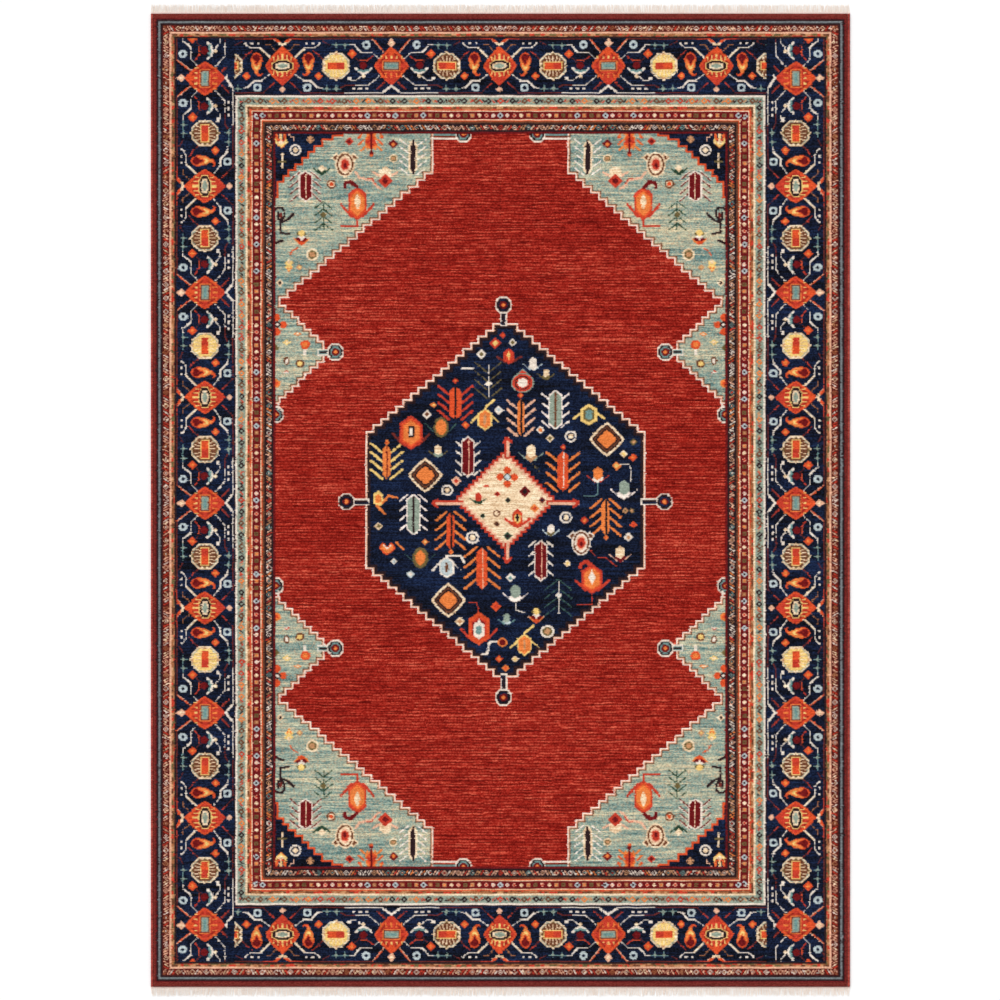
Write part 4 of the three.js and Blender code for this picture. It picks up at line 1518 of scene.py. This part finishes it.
upright = node(tree, "GeometryNodeTransform", {"Geometry": yarn_ring, "Rotation": (math.pi / 2, 0, 0)})
spread = node(tree, "ShaderNodeCombineXYZ", {"X": 1.0, "Y": sizes["Yarn spread"], "Z": 1.0})
wrap = node(tree, "GeometryNodeTransform", {"Geometry": upright, "Scale": spread})
least = maths(tree, "MULTIPLY", sizes["Lean"], 0.7)
most = maths(tree, "MULTIPLY", sizes["Lean"], 1.3)
lean = between(tree, least, most, sizes["Seed"])
leaning = node(tree, "ShaderNodeCombineXYZ", {"Z": lean})
each_wrap = {"Points": stations, "Instance": wrap, "Rotation": leaning}
wraps = node(tree, "GeometryNodeInstanceOnPoints", each_wrap)
end_tree(tree, sizes, own_shade(tree, wraps, sizes["Seed"]))
for side in ("left", "right"):
    low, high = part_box(f"side_serging_{side}")
    edge_pieces.append(grow(f"overcast_side_{side}", tree, WRAPS, (low + high) / 2, side == "right",
                            f"side_serging_{side}"))

# %% [markdown]
# Inside the wraps runs a cord of bunched warps, plied from three strands. A three-lobed section
# that turns as it goes gives the plies, without three separate tubes that would cut each other.

# %% Selvedge cords
low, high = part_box("selvedge_cord_left")
CORDS = {
    "Length": high.y - low.y,
    "Rings": 660,
    "Radius": (high.z - low.z) / 2,
    "Plies": 3,
    "Turn": 0.045,
    "Yarn": cord_cotton,
}
tree, sizes = start_tree("plied_cord", CORDS)
cord_line = line_along(tree, "Y", sizes["Length"], sizes["Rings"])
gone = node(tree, "GeometryNodeSplineParameter").outputs["Length"]
turned = maths(tree, "MULTIPLY", maths(tree, "DIVIDE", gone, sizes["Turn"]), 2 * math.pi)
twisted = node(tree, "GeometryNodeSetCurveTilt", {"Curve": cord_line, "Tilt": turned})
section = node(tree, "GeometryNodeCurvePrimitiveCircle", {"Resolution": 12, "Radius": sizes["Radius"]})
place = node(tree, "GeometryNodeInputPosition")
apart = node(tree, "ShaderNodeSeparateXYZ", {"Vector": place.outputs["Position"]})
angle = maths(tree, "ARCTAN2", apart.outputs["Y"], apart.outputs["X"])
lobes = maths(tree, "COSINE", maths(tree, "MULTIPLY", angle, sizes["Plies"]))
pinch = maths(tree, "MULTIPLY_ADD", lobes, 0.09, 0.91)
lobed = node(tree, "ShaderNodeVectorMath", {0: place.outputs["Position"], "Scale": pinch}, operation="SCALE")
plied = node(tree, "GeometryNodeSetPosition", {"Geometry": section, "Position": lobed})
plies = {"Curve": twisted, "Profile Curve": plied, "Fill Caps": True}
end_tree(tree, sizes, node(tree, "GeometryNodeCurveToMesh", plies))
for side in ("left", "right"):
    low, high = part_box(f"selvedge_cord_{side}")
    edge_pieces.append(grow(f"plied_cord_{side}", tree, CORDS, (low + high) / 2, side == "right",
                            f"selvedge_cord_{side}"))

# %% [markdown]
# Past the last row of pile, two bright wefts are twined round the warps so that the knots can't slip
# off, with two plain picks beside them. The twining is what shows as a row of small white grains.

# %% Woven ends
low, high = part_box("end_web_head")
TWINED_RADIUS = 0.00115
PICK_RADIUS = 0.00052
TWINING = {
    "Width": high.x - low.x - 0.001,
    "Points": 1360,
    "Grain": 0.007,
    "Sway": 0.001,
    "Lift": 0.00034,
    "Twined radius": TWINED_RADIUS,
    "Pick radius": PICK_RADIUS,
    "Pick pitch": 0.0009,
    "First pick": 0.0024,
    "Yarn": twined_cotton,
}
tree, sizes = start_tree("twined_end", TWINING)
weft = line_along(tree, "X", sizes["Width"], sizes["Points"])
where = node(tree, "GeometryNodeInputPosition")
gone = node(tree, "ShaderNodeSeparateXYZ", {"Vector": where.outputs["Position"]}).outputs["X"]
turned = maths(tree, "MULTIPLY", maths(tree, "DIVIDE", gone, sizes["Grain"]), math.pi)
wefts = node(tree, "GeometryNodeJoinGeometry")
for phase in (0.0, math.pi):
    angle = maths(tree, "ADD", turned, phase)
    sway = maths(tree, "MULTIPLY", maths(tree, "COSINE", angle), sizes["Sway"])
    lift = maths(tree, "MULTIPLY", maths(tree, "SINE", angle), sizes["Lift"])
    moved = node(tree, "ShaderNodeCombineXYZ", {"Y": sway, "Z": lift})
    helix = node(tree, "GeometryNodeSetPosition", {"Geometry": weft, "Offset": moved})
    strand = tube(tree, helix, sizes["Twined radius"], 5)
    tree.links.new(strand.outputs["Mesh"], wefts.inputs["Geometry"])
for pick in (0.0, 1.0):
    angle = maths(tree, "ADD", turned, pick * math.pi)
    lift = maths(tree, "MULTIPLY", maths(tree, "COSINE", angle), sizes["Lift"])
    beyond = maths(tree, "MULTIPLY_ADD", sizes["Pick pitch"], pick, sizes["First pick"])
    moved = node(tree, "ShaderNodeCombineXYZ", {"Y": beyond, "Z": lift})
    wave = node(tree, "GeometryNodeSetPosition", {"Geometry": weft, "Offset": moved})
    strand = tube(tree, wave, sizes["Pick radius"], 4)
    tree.links.new(strand.outputs["Mesh"], wefts.inputs["Geometry"])
end_tree(tree, sizes, wefts)
for end in ("head", "foot"):
    low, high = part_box(f"end_web_{end}")
    pile_side = low.y if end == "head" else high.y
    outwards = 1 if end == "head" else -1
    centre = (0, pile_side + outwards * (TWINED_RADIUS + TWINING["Sway"]), high.z - TWINED_RADIUS / 2)
    edge_pieces.append(grow(f"twined_end_{end}", tree, TWINING, centre, end == "foot",
                            f"end_web_{end}"))

# %% [markdown]
# The warps are cut loose past the twining and lie on the floor. Neighbours cling together, so they
# drift sideways in waves and gather into bunches, and no two are cut to the same length.

# %% Fringe
low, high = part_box("fringe_head")
STRANDS = 1450
ROOT = 0.001
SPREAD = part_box("end_web_head")[1].x - 0.0015
FRINGE = {
    "Strands": STRANDS,
    "Spacing": 2 * SPREAD / (STRANDS - 1),
    "Length": high.y - low.y + ROOT,
    "Strand radius": 0.00092,
    "Bunch": 0.024,
    "Gather": 0.1,
    "Drift": 0.014,
    "Seed": 9,
    "Yarn": fringe_cotton,
}
tree, sizes = start_tree("cotton_fringe", FRINGE)
gaps = maths(tree, "ADD", sizes["Strands"], -1.0)
leftmost = maths(tree, "MULTIPLY", gaps, maths(tree, "MULTIPLY", sizes["Spacing"], -0.5))
first = node(tree, "ShaderNodeCombineXYZ", {"X": leftmost})
step = node(tree, "ShaderNodeCombineXYZ", {"X": sizes["Spacing"]})
row = {"Count": sizes["Strands"], "Start Location": first, "Offset": step}
roots = node(tree, "GeometryNodeMeshLine", row)
tip = node(tree, "ShaderNodeCombineXYZ", {"Y": sizes["Length"]})
strand = node(tree, "GeometryNodeCurvePrimitiveLine", {"End": tip})
limp = node(tree, "GeometryNodeResampleCurve", {"Curve": strand, "Count": 6})
cut = node(tree, "ShaderNodeCombineXYZ", {"X": 1.0, "Y": between(tree, 0.74, 1.0, sizes["Seed"]), "Z": 1.0})
next_seed = maths(tree, "ADD", sizes["Seed"], 1.0)
lean = node(tree, "ShaderNodeCombineXYZ", {"Z": between(tree, -0.1, 0.1, next_seed)})
each_end = {"Points": roots, "Instance": limp, "Rotation": lean, "Scale": cut}
sown = node(tree, "GeometryNodeInstanceOnPoints", each_end)
real = node(tree, "GeometryNodeRealizeInstances", {"Geometry": own_shade(tree, sown, sizes["Seed"])})
where = node(tree, "GeometryNodeInputPosition").outputs["Position"]
apart = node(tree, "ShaderNodeSeparateXYZ", {"Vector": where})
gone = node(tree, "GeometryNodeSplineParameter").outputs["Factor"]
snapped = maths(tree, "SNAP", apart.outputs["X"], sizes["Bunch"])
bunch = maths(tree, "MULTIPLY_ADD", sizes["Bunch"], 0.5, snapped)
gather = maths(tree, "MULTIPLY", maths(tree, "SUBTRACT", bunch, apart.outputs["X"]), sizes["Gather"])
draught = node(tree, "ShaderNodeTexNoise", {"Vector": where, "Scale": 32.0, "Detail": 2.0}).outputs["Fac"]
drift = maths(tree, "MULTIPLY", maths(tree, "ADD", draught, -0.5), sizes["Drift"])
sideways = maths(tree, "MULTIPLY", maths(tree, "ADD", gather, drift), gone)
heap = node(tree, "ShaderNodeTexNoise", {"Vector": where, "Scale": 240.0, "Detail": 0.0}).outputs["Fac"]
above = {"Value": heap, "From Min": 0.3, "From Max": 0.7, "To Min": 0.0008, "To Max": 0.0018}
above_floor = node(tree, "ShaderNodeMapRange", above)
moved = node(tree, "ShaderNodeCombineXYZ", {"X": sideways, "Z": above_floor})
combed = node(tree, "GeometryNodeSetPosition", {"Geometry": real, "Offset": moved})
taper = maths(tree, "MULTIPLY_ADD", gone, -0.35, 1.0)
end_tree(tree, sizes, tube(tree, combed, sizes["Strand radius"], 4, scale=taper))
for end, seed in (("head", 9), ("foot", 23)):
    low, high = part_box(f"fringe_{end}")
    root_y = low.y - ROOT if end == "head" else high.y + ROOT
    own = {**FRINGE, "Seed": seed}
    edge_pieces.append(grow(f"cotton_fringe_{end}", tree, own, (0, root_y, low.z), end == "foot",
                            f"fringe_{end}"))

shown = [woven_ground, *pile_pieces, *edge_pieces]
triangles = sum(len(piece.data.loops) - 2 * len(piece.data.polygons) for piece in shown)
print(len(shown), "pieces,", triangles, "triangles in all")
